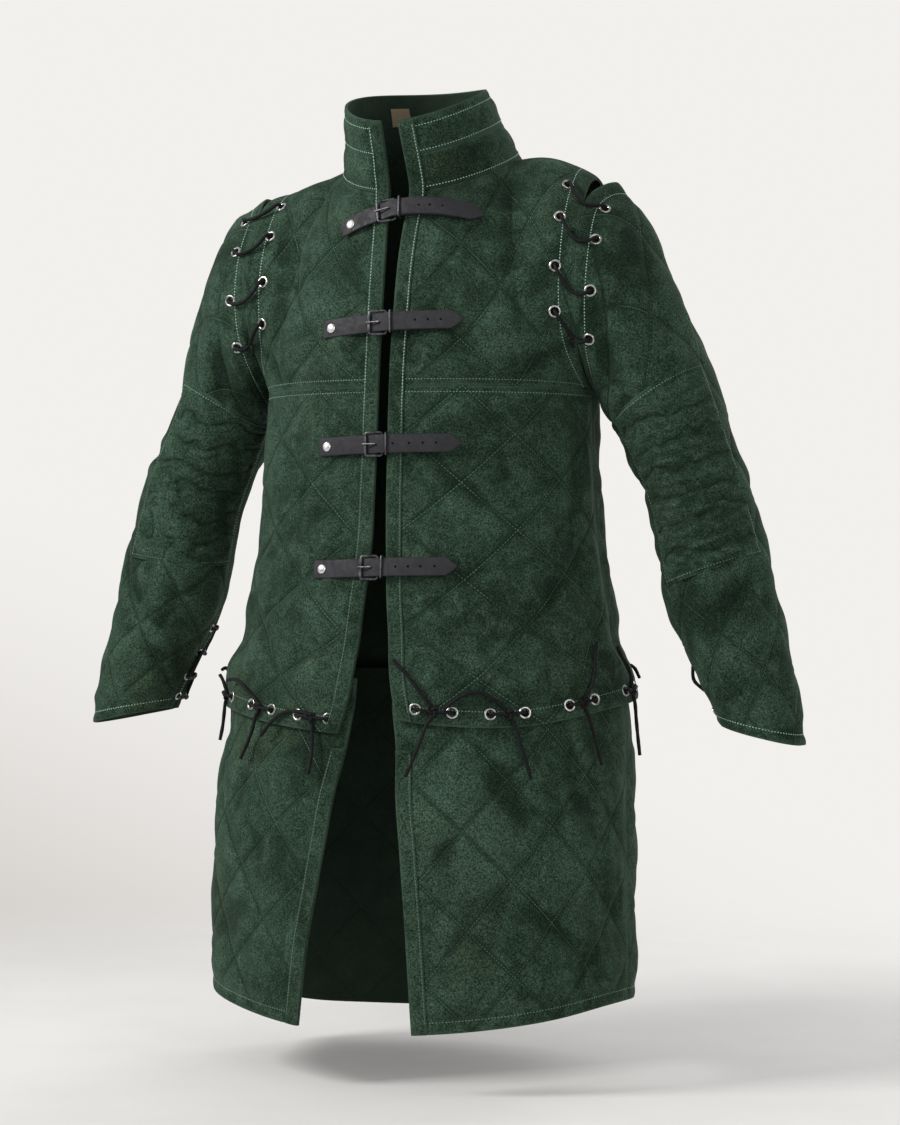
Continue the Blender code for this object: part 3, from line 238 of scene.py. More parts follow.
def armhole(angle):
    c, s = np.cos(angle), np.sin(angle)
    turn = np.abs((angle + PI) % (2 * PI) - PI)
    down = 0.30 * (1 - c)
    height = (1 - down) * c + down * (1 - 2 * turn / PI)
    depth = np.where(s > 0, 0.090, 0.082)
    return xyz(0.2005 + 0.0015 * c + 0.0030 * s * s, 0.005 * (1 + c) - depth * s,
               -0.153 + 0.119 * height)


def shoulder_seam(side, share):
    share = np.asarray(share, float)
    start, end = neckline(np.array(PI / 2)), armhole(np.array(0.0))
    rise = SHOULDER_RISE[side] * np.sin(PI * share)
    return blend(start, end, share[..., None]) + xyz(0 * rise, 0 * rise, rise)


def between(bottom, top, left, right, u, v, left_pull, right_pull):
    """A surface across four edges; each side edge's own bend fades towards the other."""
    u, v = np.broadcast_arrays(u, v)
    point = blend(bottom(u), top(u), v[..., None])
    left_bend = left(v) - blend(left(0 * v), left(0 * v + 1), v[..., None])
    right_bend = right(v) - blend(right(0 * v), right(0 * v + 1), v[..., None])
    return point + left_pull[..., None] * left_bend + right_pull[..., None] * right_bend


def front_level(side, u, z):
    half_width = smooth(TORSO_RINGS, z)[0]
    return blend(np.arcsin(side_value(BODY_OPENING, side, z) / half_width), PI / 2, u)


def front_lower(side, u, v):
    """From the hem at v = -1 up to the chest seam at v = 0; u from the front edge to the side."""
    angle = front_level(side, u, blend(CHEST_Z, LOWEST_HEM_Z, -v))
    return mirrored(on_ring(TORSO_RINGS, angle, blend(CHEST_Z, body_hem_z(side * angle), -v)), side)


def front_upper(side, u, v):
    """From the chest seam up to the neckline and the shoulder seam."""
    def bottom(u):
        return on_ring(TORSO_RINGS, front_level(side, u, CHEST_Z + 0 * u), CHEST_Z + 0 * u)

    def top(u):
        neck = neckline(blend(neck_start(side), PI / 2, np.minimum(u / NECK_SHARE, 1)))
        seam = shoulder_seam(side, np.maximum(u - NECK_SHARE, 0) / (1 - NECK_SHARE))
        return np.where((u <= NECK_SHARE)[..., None], neck, seam)

    def edge(v):
        z = blend(CHEST_Z, -0.051, v)
        chest_y = -float(smooth(TORSO_RINGS, CHEST_Z)[1])
        y = blend(chest_y, neckline(np.array(0.1))[1], np.abs(v) ** 2.2)
        return xyz(side_value(BODY_OPENING, side, z), y, z)

    pull = (1 - u) ** 2, np.clip(u, 0, None) ** 1.5
    return mirrored(between(bottom, top, edge, lambda v: armhole(PI * (1 - v)), u, v, *pull), side)


def back(u, v):
    """From the wearer's left side seam round the back to the right one."""
    angle = blend(PI / 2, 3 * PI / 2, u)
    low = on_ring(TORSO_RINGS, angle, blend(CHEST_Z, body_hem_z(angle), np.maximum(-v, 0)))
    edge = (1 - NECK_SHARE) / 2

    def top(u):
        neck = neckline(blend(PI / 2, 3 * PI / 2, np.clip((u - edge) / NECK_SHARE, 0, 1)))
        left = shoulder_seam(1, 1 - np.clip(u / edge, 0, 1))
        right = mirrored(shoulder_seam(-1, np.clip((u - 1 + edge) / edge, 0, 1)), -1)
        return np.where((u < edge)[..., None], left, np.where((u > 1 - edge)[..., None], right, neck))

    high = between(
        lambda u: on_ring(TORSO_RINGS, blend(PI / 2, 3 * PI / 2, u), CHEST_Z + 0 * u), top,
        lambda v: armhole(-PI * (1 - v)), lambda v: mirrored(armhole(-PI * (1 - v)), -1),
        u, np.maximum(v, 0), (1 - u) ** 3, u**3)
    return np.where((v <= 0)[..., None], low, high)


def skirt(angle, v):
    """From the hidden top edge at v = 0 down to the hem, in soft folds that grow downwards."""
    fold = 0.0035 * ease((v - 0.2) / 0.8) * np.cos(7 * angle + 0.6) * np.sin(angle) ** 2
    z = blend(SKIRT_TOP_Z, skirt_hem_z(angle), v)
    lean = SKIRT_LEAN * ease((-0.660 - z) / 0.100)
    return on_ring(SKIRT_RINGS, angle, z) + xyz(fold * np.sin(angle) + lean, -fold * np.cos(angle), 0 * fold)


def skirt_edge_angle(side, v):
    z = blend(SKIRT_TOP_Z, -0.995, v)
    return np.arcsin(side_value(SKIRT_OPENING, side, z) / smooth(SKIRT_RINGS, z)[0])


def skirt_front(side, u, v):
    return skirt(side * blend(skirt_edge_angle(side, v), PI / 2, u), v)


# %% The sleeve
SEAM_DEG, SLIT_START, SLIT_WIDTH, HEAD_SHARE, FOREARM_RADIUS = 195.0, 0.72, 0.032, 0.12, 0.055
# the arm's inner and outer side, x and z of each, then its half depth and its centre's y
SLEEVE_SECTIONS = np.array((
    (0.1994, -0.272, 0.2140, -0.036, 0.085, 0.005), (0.2070, -0.281, 0.2420, -0.062, 0.081, 0.005),
    (0.2130, -0.291, 0.2730, -0.118, 0.076, 0.008), (0.2180, -0.301, 0.3040, -0.180, 0.072, 0.014),
    (0.2240, -0.317, 0.3340, -0.256, 0.069, 0.022), (0.2420, -0.355, 0.3540, -0.315, 0.066, 0.028),
    (0.2630, -0.407, 0.3730, -0.369, 0.064, 0.030), (0.2750, -0.462, 0.3900, -0.424, 0.063, 0.030),
    (0.2840, -0.510, 0.4040, -0.470, 0.060, 0.030), (0.2960, -0.545, 0.4150, -0.512, 0.057, 0.030),
    (0.3130, -0.580, 0.4260, -0.560, 0.054, 0.030), (0.3300, -0.615, 0.4360, -0.615, 0.051, 0.030),
    (0.3450, -0.650, 0.4450, -0.671, 0.049, 0.030),
))


# share of the length, then how much further out the right and left arm's outer side stands
OUTER_SIDES = (
    (0.00, 0.000, 0.000), (0.09, 0.008, 0.000), (0.20, -0.004, -0.003), (0.30, -0.008, -0.003),
    (0.42, 0.003, -0.004), (0.60, 0.005, -0.005), (0.85, 0.006, -0.006), (1.00, 0.012, -0.002),
)


def sleeve_table():
    middles = (SLEEVE_SECTIONS[:, 0:2] + SLEEVE_SECTIONS[:, 2:4]) / 2
    walked = walk(middles)
    return tuple(map(tuple, np.column_stack([walked / walked[-1], SLEEVE_SECTIONS])))


SLEEVE_TABLE = sleeve_table()


def sleeve(side, angle, share):
    """Angle from the arm's outer side round its front; share of the sleeve's length."""
    def section(share):
        inner_x, inner_z, outer_x, outer_z, half_depth, centre_y = smooth(SLEEVE_TABLE, share)
        outer_x = outer_x + side_value(OUTER_SIDES, side, share)
        c, s = np.cos(angle), np.sin(angle)
        return xyz((inner_x + outer_x) / 2 + (outer_x - inner_x) / 2 * c,
                   centre_y - half_depth * s,
                   (inner_z + outer_z) / 2 + (outer_z - inner_z) / 2 * c)

    angle, share = np.broadcast_arrays(angle, share)
    turn = np.abs((angle + PI) % (2 * PI) - PI)
    notch = 0.013 * ease(1 - turn / math.radians(40))
    head = armhole(angle) + xyz(0.0003 + notch, 0 * notch, 0 * notch)
    pull = (1 - ease(share / HEAD_SHARE))[..., None]
    return mirrored(section(share) + (head - section(0 * share)) * pull, side)


def slit_half_angle(share):
    opening = SLIT_WIDTH / 2 * ease((share - SLIT_START) / (0.96 - SLIT_START))
    return (0.00015 + opening + 0.010 * ease((share - 0.95) / 0.05)) / FOREARM_RADIUS


def sleeve_angle(column, share):
    """Columns 0 to 20 go once round, from one side of the seam to the other."""
    near = np.minimum(column, 20 - column) / 2
    push = slit_half_angle(share) * np.clip(1 - near, 0, None)
    return math.radians(SEAM_DEG) + 2 * PI * column / 20 + np.where(column < 10, push, -push)


def sleeve_cloth(side, column, share):
    return sleeve(side, sleeve_angle(column, share), share)


print("hem of the body at", round(float(body_hem_z(0)), 3), "and of the skirt at",
      round(float(skirt_hem_z(0)), 3))

# %% [markdown]
# ## Cloth with padding in it
# A gambeson panel is a sandwich: suede, wadding and lining, sewn through in crossing lines. The
# lines press the wadding down and the diamonds between them stand proud. Where the panel will
# be seamed or hemmed the maker leaves the last few centimetres flatter, so the edges meet thin.
# Each panel here is a fine grid on its form. Its outer face is raised in diamonds, pressed in along every row
# of topstitching, and creased where a worn coat creases. Its inner face follows the creases with a shallower
# quilting. The grid also carries two maps: places among the quilting lines, and the distance from the panel's
# edge, which the suede uses later.

# %% How a panel is made
Crease = namedtuple("Crease", "u v turn length width depth bend")
CLOTHS = {}


def wander(points, scale, seed, waves=14):
    """A smooth uneven field between about -1 and 1, with bumps of the given size."""
    random = np.random.RandomState(seed)
    total = np.zeros(points.shape[:-1])
    for _ in range(waves):
        direction = unit(random.normal(size=3))
        wave = 2 * PI / scale * random.uniform(0.6, 1.5)
        total += np.sin(points @ direction * wave + random.uniform(0, 2 * PI))
    return total / math.sqrt(waves / 2) / 1.6


def arc_lengths(points, axis):
    steps = np.linalg.norm(np.diff(points, axis=axis), axis=-1)
    start = np.zeros_like(np.take(steps, [0], axis=axis))
    return np.concatenate([start, np.cumsum(steps, axis=axis)], axis=axis)


def edge_distances(points):
    """How far each place of a grid is from its u and v edges, start then end, and the nearest."""
    along_u, along_v = arc_lengths(points, 0), arc_lengths(points, 1)
    edges = [along_u, along_u[-1:] - along_u, along_v, along_v[:, -1:] - along_v]
    return edges, np.minimum.reduce(edges)


def grid_normals(points, sign):
    across, along = np.gradient(points, axis=0), np.gradient(points, axis=1)
    return unit(np.cross(across, along)) * sign


def creases_on(points, normals, us, vs, creases, seed):
    """Soft troughs with a low ridge on each side, each uneven along its length."""
    height = np.zeros(points.shape[:2])
    uneven = 0.75 + 0.35 * wander(points, 0.045, seed)
    across, along = unit(np.gradient(points, axis=0)), unit(np.gradient(points, axis=1))
    for crease in creases:
        a, b = int(np.argmin(np.abs(us - crease.u))), int(np.argmin(np.abs(vs - crease.v)))
        turn = math.radians(crease.turn)
        direction = unit(across[a, b] * math.cos(turn) + along[a, b] * math.sin(turn))
        sideways = np.cross(normals[a, b], direction)
        offset = points - points[a, b]
        x = offset @ direction
        y = (offset @ sideways - crease.bend * x * x) / crease.width
        near = np.exp(-((x / (crease.length / 2)) ** 4)) * (np.abs(offset @ normals[a, b]) < 0.05)
        trough = -np.exp(-y * y) + 0.45 * np.exp(-((np.abs(y) - 1.9) / 0.9) ** 2)
        height += crease.depth * trough * near * uneven
    return height


def keep_cloth(name, sign, top, under, **maps):
    """Keeps a sheet's two faces and its maps, for all that is sewn or laid on it later."""
    CLOTHS[name] = dict(name=name, sign=sign, top=top, under=under, normals=grid_normals(top, sign), **maps)


def diamonds(i, j):
    """0 on a quilting line and 1 in the middle of a diamond, four grid places across."""
    rising, falling = np.abs((i + j + 2) % 4 - 2), np.abs((i - j + 2) % 4 - 2)
    return np.minimum(rising, falling) / 2


NOTCH_REACH = 0.034
NOTCH_PULLS = {"front_upper_left": (-0.002, 0, 0.007), "back": (-0.002, 0, 0.007),
               "sleeve_left": (0.010, 0, 0.001)}


def open_notch(points, name):
    """At the wearer's left shoulder the body's corner stands up and the sleeve head falls away."""
    away = np.linalg.norm(points - armhole(np.array(0.0)), axis=-1) / NOTCH_REACH
    return np.exp(-(away**2))[..., None] * np.array(NOTCH_PULLS.get(name, (0, 0, 0)))


def panel(name, place, us, vs, sign, lattice, puff=PUFF, wall=WALL, flat=(0, 0, 0, 0),
          press=(), creases=(), settle=None, seed=1, soft=0.0012):
    """A padded sheet; flat and press are distances from its u and v edges, start then end."""
    us, vs = np.asarray(us, float), np.asarray(vs, float)
    u, v = np.meshgrid(us, vs, indexing="ij")
    base = place(u, v)
    base = base + open_notch(base, name)
    normals = grid_normals(base, sign)
    if settle is not None:
        normals = settle(u, v, normals)
    edges, nearest = edge_distances(base)
    i, j = np.interp(u, *lattice[0]), np.interp(v, *lattice[1])
    level = diamonds(i, j)
    pillow = 0.55 * np.sin(level * PI / 2) + 0.45 * (1 - np.exp(-level / 0.10))
    fade = np.ones_like(u)
    for distance, width in zip(edges, flat):
        fade *= ease((distance - width) / 0.018)
    quilt = puff * pillow * fade
    creased = creases_on(base, normals, us, vs, creases, seed)
    slack = soft * wander(base, 0.11, seed + 1) + 0.45 * soft * wander(base, 0.038, seed + 2)
    slack = (slack + creased) * ease(nearest / 0.012)
    outer = quilt + slack * (0.35 + 0.65 * fade)
    for edge, inset in press:
        outer -= 0.0009 * np.exp(-(((edges[edge] - inset) / 0.0035) ** 2))
    outer -= 0.0008 * np.exp(-((nearest / 0.0025) ** 2))
    top = base + normals * outer[..., None]
    under = base + normals * (slack - wall - 0.3 * quilt)[..., None]
    keep_cloth(name, sign, top, under, us=us, vs=vs, i=i, j=j, edges=edges, nearest=nearest,
               level=level, fold=slack * 1000)


def grid_quads(columns, rows, start=0):
    place = start + np.arange(columns * rows).reshape(columns, rows)
    a, b, c, d = place[:-1, :-1], place[1:, :-1], place[1:, 1:], place[:-1, 1:]
    return np.stack([a, b, c, d], axis=-1).reshape(-1, 4)


def rim_quads(columns, rows):
    place = np.arange(columns * rows).reshape(columns, rows)
    loop = np.concatenate([place[:, 0], place[-1, 1:], place[-2::-1, -1], place[0, -2:0:-1]])
    after = np.roll(loop, -1)
    return np.stack([loop, loop + columns * rows, after + columns * rows, after], axis=-1)


def make_mesh(name, points, faces, smooth_angle=40):
    mesh = bpy.data.meshes.new(name)
    faces = [[int(k) for k in face] for face in faces]
    mesh.from_pydata([tuple(point) for point in points], [], faces)
    mesh.validate()
    mesh.shade_smooth()
    mesh.set_sharp_from_angle(angle=math.radians(smooth_angle))
    obj = bpy.data.objects.new(name, mesh)
    bpy.context.scene.collection.objects.link(obj)
    return obj


def add_number(mesh, name, values):
    attribute = mesh.attributes.new(name, "FLOAT", "POINT")
    attribute.data.foreach_set("value", np.asarray(values, np.float32).ravel())


def add_map(mesh, name, first, second):
    layer = mesh.uv_layers.new(name=name)
    corner = np.empty(len(mesh.loops), np.int32)
    mesh.loops.foreach_get("vertex_index", corner)
    pairs = np.stack([first.ravel()[corner], second.ravel()[corner]], axis=1)
    layer.data.foreach_set("uv", pairs.astype(np.float32).ravel())


WearAndLightSpot = namedtuple("WearAndLightSpot", "x z size strength")      # a spot seen from in front: paled for wear and a painted highlight above 0, darkened for dirt and painted shade below 0
WEAR_AND_LIGHT_SPOTS = (
    WearAndLightSpot(-0.100, -0.219, 0.055, 0.50), WearAndLightSpot(-0.133, -0.116, 0.050, 0.15), WearAndLightSpot(0.130, -0.191, 0.055, 0.35),
    WearAndLightSpot(0.093, -0.766, 0.065, 0.95), WearAndLightSpot(0.199, -0.827, 0.050, 0.45), WearAndLightSpot(-0.170, -0.857, 0.060, 0.35),
    WearAndLightSpot(0.064, -0.911, 0.050, 0.35), WearAndLightSpot(-0.056, 0.001, 0.030, 0.50), WearAndLightSpot(0.058, -0.123, 0.050, 0.20),
    WearAndLightSpot(-0.062, -0.378, 0.060, 0.20), WearAndLightSpot(0.072, -0.423, 0.050, 0.25), WearAndLightSpot(0.212, -0.324, 0.060, -0.50),
    WearAndLightSpot(0.061, -0.029, 0.035, -0.80), WearAndLightSpot(0.259, -0.422, 0.060, -0.40), WearAndLightSpot(-0.097, -0.570, 0.060, -0.35),
    WearAndLightSpot(-0.096, -0.701, 0.050, -0.50), WearAndLightSpot(0.168, -0.571, 0.060, -0.20), WearAndLightSpot(0.263, -0.878, 0.060, -0.40),
    WearAndLightSpot(0.163, -0.054, 0.050, -0.35), WearAndLightSpot(-0.041, -0.693, 0.040, -0.50), WearAndLightSpot(0.284, -0.703, 0.050, -0.35),
    WearAndLightSpot(-0.173, -0.537, 0.050, -0.20), WearAndLightSpot(-0.315, -0.336, 0.050, 0.30), WearAndLightSpot(-0.283, -0.203, 0.050, 0.30),
    WearAndLightSpot(-0.368, -0.579, 0.050, -0.10), WearAndLightSpot(-0.254, -0.397, 0.050, -0.50), WearAndLightSpot(0.254, -0.113, 0.050, 0.30),
    WearAndLightSpot(0.315, -0.375, 0.060, -0.30), WearAndLightSpot(0.375, -0.532, 0.060, -0.10), WearAndLightSpot(0.279, -0.205, 0.040, 0.30),
    WearAndLightSpot(0.368, -0.420, 0.040, -0.50),
)


def rubbed(points):
    """Above 0, the nap paled for wear and a painted highlight; below 0, darkened for dirt and for painted
    shade in folds and hollows.
    """
    total = np.zeros(len(points))
    for wear_and_light in WEAR_AND_LIGHT_SPOTS:
        away = ((points[:, 0] - wear_and_light.x) ** 2 + ((points[:, 2] - wear_and_light.z) * 0.8) ** 2) / wear_and_light.size**2
        total += wear_and_light.strength * np.exp(-away) * (points[:, 1] < 0.06)
    return total


def sew_panel(cloth):
    """The closed mesh of a panel: outer face, inner face and the thin edge between them."""
    columns, rows = cloth["top"].shape[:2]
    outside, inside = grid_quads(columns, rows), grid_quads(columns, rows, columns * rows)
    rim = rim_quads(columns, rows)
    if cloth["sign"] > 0:
        inside = inside[:, ::-1]
    else:
        outside, rim = outside[:, ::-1], rim[:, ::-1]
    points = np.concatenate([cloth["top"].reshape(-1, 3), cloth["under"].reshape(-1, 3)])
    obj = make_mesh("gambeson_" + cloth["name"], points, np.concatenate([outside, inside, rim]))
    twice = lambda values: np.concatenate([values.ravel(), values.ravel()])
    inner = np.repeat([0.0, 1.0], columns * rows)
    add_number(obj.data, "inside", inner)
    add_number(obj.data, "edge", twice(cloth["nearest"]))
    add_number(obj.data, "level", twice(cloth["level"]))
    add_number(obj.data, "fold", twice(cloth["fold"]) * (1 - 2 * inner))
    add_number(obj.data, "rubbed", rubbed(points))
    add_map(obj.data, "quilting", twice((cloth["i"] + cloth["j"]) / 4),
            twice((cloth["i"] - cloth["j"]) / 4))
    cloth["obj"] = obj
    return obj


def fine(first, last, length, step=0.0032):
    return np.linspace(first, last, int(round(length / step)) + 1)


print("a diamond is about", 4 * 27, "mm across")

# %% [markdown]
# ## Fronts and back
# Each front is cut in two, with a level seam at the bottom of the armhole. Pressing the seam
# open and topstitching it on both sides is what draws the double line across the chest.
# The back is one length from hem to neck. All of them hang a little slack, so soft diagonal
# drags run from the straps and from the armholes, and the side seams pucker.

# %% Body panels
GAP = 0.0007                     # half a seam's gap as a share of a panel's width or height
STRIP = 0.064                    # of a front's width, under the edge strip


FRONT_LATTICE = [0.0, *np.linspace(STRIP, NECK_SHARE, 6), *np.linspace(NECK_SHARE, 1, 5)[1:]]


def numbered(places, shift=0):
    return np.array(places), np.arange(len(places), dtype=float) + shift


def neck_normal(angle):
    c = np.cos(angle)
    rise = 0.95 * np.sin(angle) ** 2 + np.where(c > 0, 0.10, 0.46) * c * c
    return unit(xyz(np.sin(angle), -c, rise))


def shoulder_normal(share):
    along = unit(armhole(np.array(0.0)) - neckline(np.array(PI / 2)))
    level = unit(np.array([0, 0, 1.0]) - along * along[2])
    return unit(blend(neck_normal(np.array(PI / 2)), level, ease(share * 3)[..., None]))


def settle_front(side):
    """Towards the neck and shoulder seams a front faces the way its neighbour does."""
    def settle(u, v, normals):
        neck = neck_normal(blend(neck_start(side), PI / 2, np.minimum(u / NECK_SHARE, 1)))
        seam = shoulder_normal(np.maximum(u - NECK_SHARE, 0) / (1 - NECK_SHARE))
        rim = mirrored(np.where((u <= NECK_SHARE)[..., None], neck, seam), side)
        normals = unit(blend(normals, rim, ease((v - 0.90) / 0.10)[..., None]))
        keep = side * np.maximum(side * normals[..., 0], 0)
        near = ease((u - 0.93) / 0.07) * ease((v - 0.02) / 0.1)
        normals[..., 0] = blend(normals[..., 0], keep, near)
        return unit(normals)
    return settle


def settle_back(u, v, normals):
    edge = (1 - NECK_SHARE) / 2
    neck = neck_normal(blend(PI / 2, 3 * PI / 2, np.clip((u - edge) / NECK_SHARE, 0, 1)))
    left = shoulder_normal(1 - np.clip(u / edge, 0, 1))
    right = mirrored(shoulder_normal(np.clip((u - 1 + edge) / edge, 0, 1)), -1)
    rim = np.where((u < edge)[..., None], left, np.where((u > 1 - edge)[..., None], right, neck))
    normals = unit(blend(normals, rim, ease((v - 0.90) / 0.10)[..., None]))
    outward = np.where(u < 0.5, 1.0, -1.0)
    keep = outward * np.maximum(outward * normals[..., 0], 0)
    near = ease((np.abs(u - 0.5) - 0.465) / 0.035) * ease((v - 0.02) / 0.1)
    normals[..., 0] = blend(normals[..., 0], keep, near)
    return unit(normals)


FRONT_COLUMNS = numbered(FRONT_LATTICE, -1)
LOWER_ROWS, UPPER_ROWS = numbered(np.linspace(-1, 0, 15)), numbered(np.linspace(0, 1, 10))
BACK_COLUMNS = numbered([*np.linspace(0, 0.2, 5), *np.linspace(0.2, 0.8, 13)[1:],
                         *np.linspace(0.8, 1, 5)[1:]])
BACK_ROWS = numbered([*np.linspace(-1, 0, 15), *np.linspace(0, 1, 10)[1:]])

FRONT_LOWER_CREASES = {
    1: (Crease(0.30, -0.30, -35, 0.12, 0.010, 0.0020, 1.5),
        Crease(0.62, -0.62, 40, 0.14, 0.012, 0.0022, -1.0),
        Crease(0.78, -0.35, 70, 0.10, 0.009, 0.0018, 2.0),
        Crease(0.45, -0.82, 15, 0.12, 0.010, 0.0016, -2.0)),
    -1: (Crease(0.35, -0.42, -30, 0.12, 0.011, 0.0022, 2.0),
         Crease(0.60, -0.68, 35, 0.13, 0.012, 0.0020, -1.5),
         Crease(0.80, -0.30, 65, 0.10, 0.009, 0.0018, 1.5)),
}
FRONT_UPPER_CREASES = {
    1: (Crease(0.84, 0.20, 35, 0.11, 0.009, 0.0026, 1.5), Crease(0.72, 0.42, 50, 0.12, 0.010, 0.0020, -2.0),
        Crease(0.36, 0.70, -25, 0.10, 0.010, 0.0016, 1.0)),
    -1: (Crease(0.82, 0.24, 40, 0.12, 0.010, 0.0028, 1.0), Crease(0.64, 0.50, 55, 0.13, 0.011, 0.0022, -1.5),
         Crease(0.34, 0.28, -20, 0.10, 0.010, 0.0016, 2.0)),
}
BACK_CREASES = (
    Crease(0.12, 0.18, 40, 0.12, 0.010, 0.0026, 1.0), Crease(0.88, 0.20, -40, 0.12, 0.010, 0.0026, -1.0),
    Crease(0.30, 0.55, 60, 0.15, 0.012, 0.0022, 1.5), Crease(0.70, 0.58, -58, 0.15, 0.012, 0.0022, -1.5),
    Crease(0.50, -0.45, 5, 0.20, 0.013, 0.0020, 0.8), Crease(0.22, -0.55, 20, 0.14, 0.011, 0.0020, -1.0),
    Crease(0.78, -0.60, -18, 0.15, 0.011, 0.0020, 1.0), Crease(0.42, -0.80, 80, 0.12, 0.010, 0.0016, 1.0),
)
# how far in from its edge each row of topstitching runs
HEM_STITCH, SEAM_STITCH, EDGE_STITCH, ARMHOLE_STITCH = 0.018, 0.007, 0.016, 0.020
HEAD_STITCH, CUFF_STITCH, SEAM_EDGE = 0.017, 0.012, 0.010
SKIRT_HEM_STITCH, PATCH_STITCH, COLLAR_SEAM_STITCH, COLLAR_TOP_STITCH = 0.013, 0.0045, 0.0035, 0.0100
for side, word in WORDS.items():
    panel(f"front_lower_{word}", lambda u, v: front_lower(side, u, v),
          fine(0, 1 - GAP, 0.31), fine(-1, -GAP * 0.6, 0.39), side, (FRONT_COLUMNS, LOWER_ROWS),
          flat=(0.030, 0.004, 0.026, 0.004),
          press=((0, EDGE_STITCH), (2, HEM_STITCH), (3, SEAM_STITCH)),
          creases=FRONT_LOWER_CREASES[side], seed=11 + side)
    panel(f"front_upper_{word}", lambda u, v: front_upper(side, u, v),
          fine(0, 1 - GAP, 0.29), fine(GAP, 1 - GAP * 1.6, 0.24), side, (FRONT_COLUMNS, UPPER_ROWS),
          flat=(0.030, 0.024, 0.004, 0.004),
          press=((0, EDGE_STITCH), (1, ARMHOLE_STITCH), (2, SEAM_STITCH)),
          creases=FRONT_UPPER_CREASES[side], settle=settle_front(side), seed=21 + side)
panel("back", back, fine(GAP / 2, 1 - GAP / 2, 0.66, 0.0036), fine(-1, 1 - GAP * 1.6, 0.65, 0.0036), 1,
      (BACK_COLUMNS, BACK_ROWS), flat=(0.004, 0.004, 0.026, 0.004),
      press=((2, HEM_STITCH),), creases=BACK_CREASES, settle=settle_back, seed=31)
print("body panels:", ", ".join(CLOTHS))

# %% [markdown]
# ## Collar, skirt and sleeves
# The stand collar is two bands of the same padded suede, seamed along their length and topped
# with a bound edge. The skirt is three panels hung inside the hem of the body: two fronts and a
# back, seamed at the sides. A sleeve is one sheet rolled round the arm. Its long edges meet
# along the inner forearm and stay open towards the cuff, where they are laced, and its head is
# left free of the body so that the laces can draw the two together.

# %% Collar and skirt panels
def collar_places():
    front = [u / NECK_SHARE for u in FRONT_LATTICE[:7]]
    left = [blend(neck_start(1), PI / 2, share) for share in front]
    right = [2 * PI - blend(neck_start(-1), PI / 2, share) for share in front[::-1]]
    return left + list(np.linspace(PI / 2, 3 * PI / 2, 13)[1:-1]) + right


COLLAR_COLUMNS = numbered(collar_places())
COLLAR_CREASES = {
    "lower": (Crease(1.0, 0.30, 80, 0.030, 0.007, 0.0016, 0.0),
              Crease(5.2, 0.28, 75, 0.030, 0.007, 0.0016, 0.0)),
    "upper": (Crease(1.35, 0.75, 60, 0.030, 0.007, 0.0012, 0.0),
              Crease(4.4, 0.7, 95, 0.030, 0.007, 0.0012, 0.0)),
}


def settle_collar(u, v, normals):
    rim = neck_normal(u)
    return unit(blend(rim, normals, ease(v / 0.12)[..., None]))


around = COLLAR_COLUMNS[0][0], COLLAR_COLUMNS[0][-1]
panel("collar_lower", collar, fine(*around, 0.52, 0.0028), fine(0.006, 0.498, 0.055, 0.0028), 1,
      (COLLAR_COLUMNS, numbered((0.006, 0.25, 0.498))), puff=0.0022, flat=(0.010, 0.010, 0.002, 0.002),
      press=((0, 0.012), (1, 0.012), (2, 0.008), (3, 0.007)), creases=COLLAR_CREASES["lower"],
      settle=settle_collar, seed=41, soft=0.0009)
panel("collar_upper", collar, fine(*around, 0.52, 0.0028), fine(0.502, 1.0, 0.055, 0.0028), 1,
      (COLLAR_COLUMNS, numbered((0.502, 0.75, 1.0))), puff=0.0022, flat=(0.010, 0.010, 0.002, 0.004),
      press=((0, 0.012), (1, 0.012), (3, COLLAR_TOP_STITCH)),
      creases=COLLAR_CREASES["upper"], seed=43, soft=0.0009)

SKIRT_ROWS = numbered(np.linspace(0, 1, 15))
SKIRT_FRONT_COLUMNS = numbered([0.0, *np.linspace(STRIP * 0.8, 1, 13)], -1)
SKIRT_FRONT_CREASES = {
    1: (Crease(0.35, 0.30, 60, 0.14, 0.013, 0.0024, 1.0), Crease(0.70, 0.45, 75, 0.18, 0.014, 0.0024, -0.8),
        Crease(0.50, 0.72, 35, 0.13, 0.011, 0.0018, -1.5), Crease(0.86, 0.78, 80, 0.13, 0.012, 0.0020, 1.0)),
    -1: (Crease(0.40, 0.34, 70, 0.15, 0.013, 0.0024, -1.0), Crease(0.74, 0.50, 80, 0.18, 0.014, 0.0024, 0.8),
         Crease(0.46, 0.76, 40, 0.12, 0.011, 0.0018, 1.5)),
}
SKIRT_BACK_CREASES = (
    Crease(0.18, 0.45, 85, 0.20, 0.015, 0.0028, 0.6), Crease(0.38, 0.55, 92, 0.18, 0.014, 0.0026, -0.6),
    Crease(0.60, 0.50, 86, 0.20, 0.015, 0.0026, 0.8), Crease(0.82, 0.60, 95, 0.20, 0.015, 0.0028, -0.6),
    Crease(0.50, 0.30, 50, 0.12, 0.012, 0.0020, 1.0),
)
for side, word in WORDS.items():
    panel(f"skirt_front_{word}", lambda u, v: skirt_front(side, u, v),
          fine(0, 1 - GAP / 2, 0.30), fine(0, 1, 0.39), -side, (SKIRT_FRONT_COLUMNS, SKIRT_ROWS),
          flat=(0.026, 0.004, 0.070, 0.014), press=((0, EDGE_STITCH), (3, SKIRT_HEM_STITCH)),
          creases=SKIRT_FRONT_CREASES[side], seed=51 + side, soft=0.0014)
SKIRT_BACK_COLUMNS = numbered(np.linspace(GAP / 4, 1 - GAP / 4, 27))
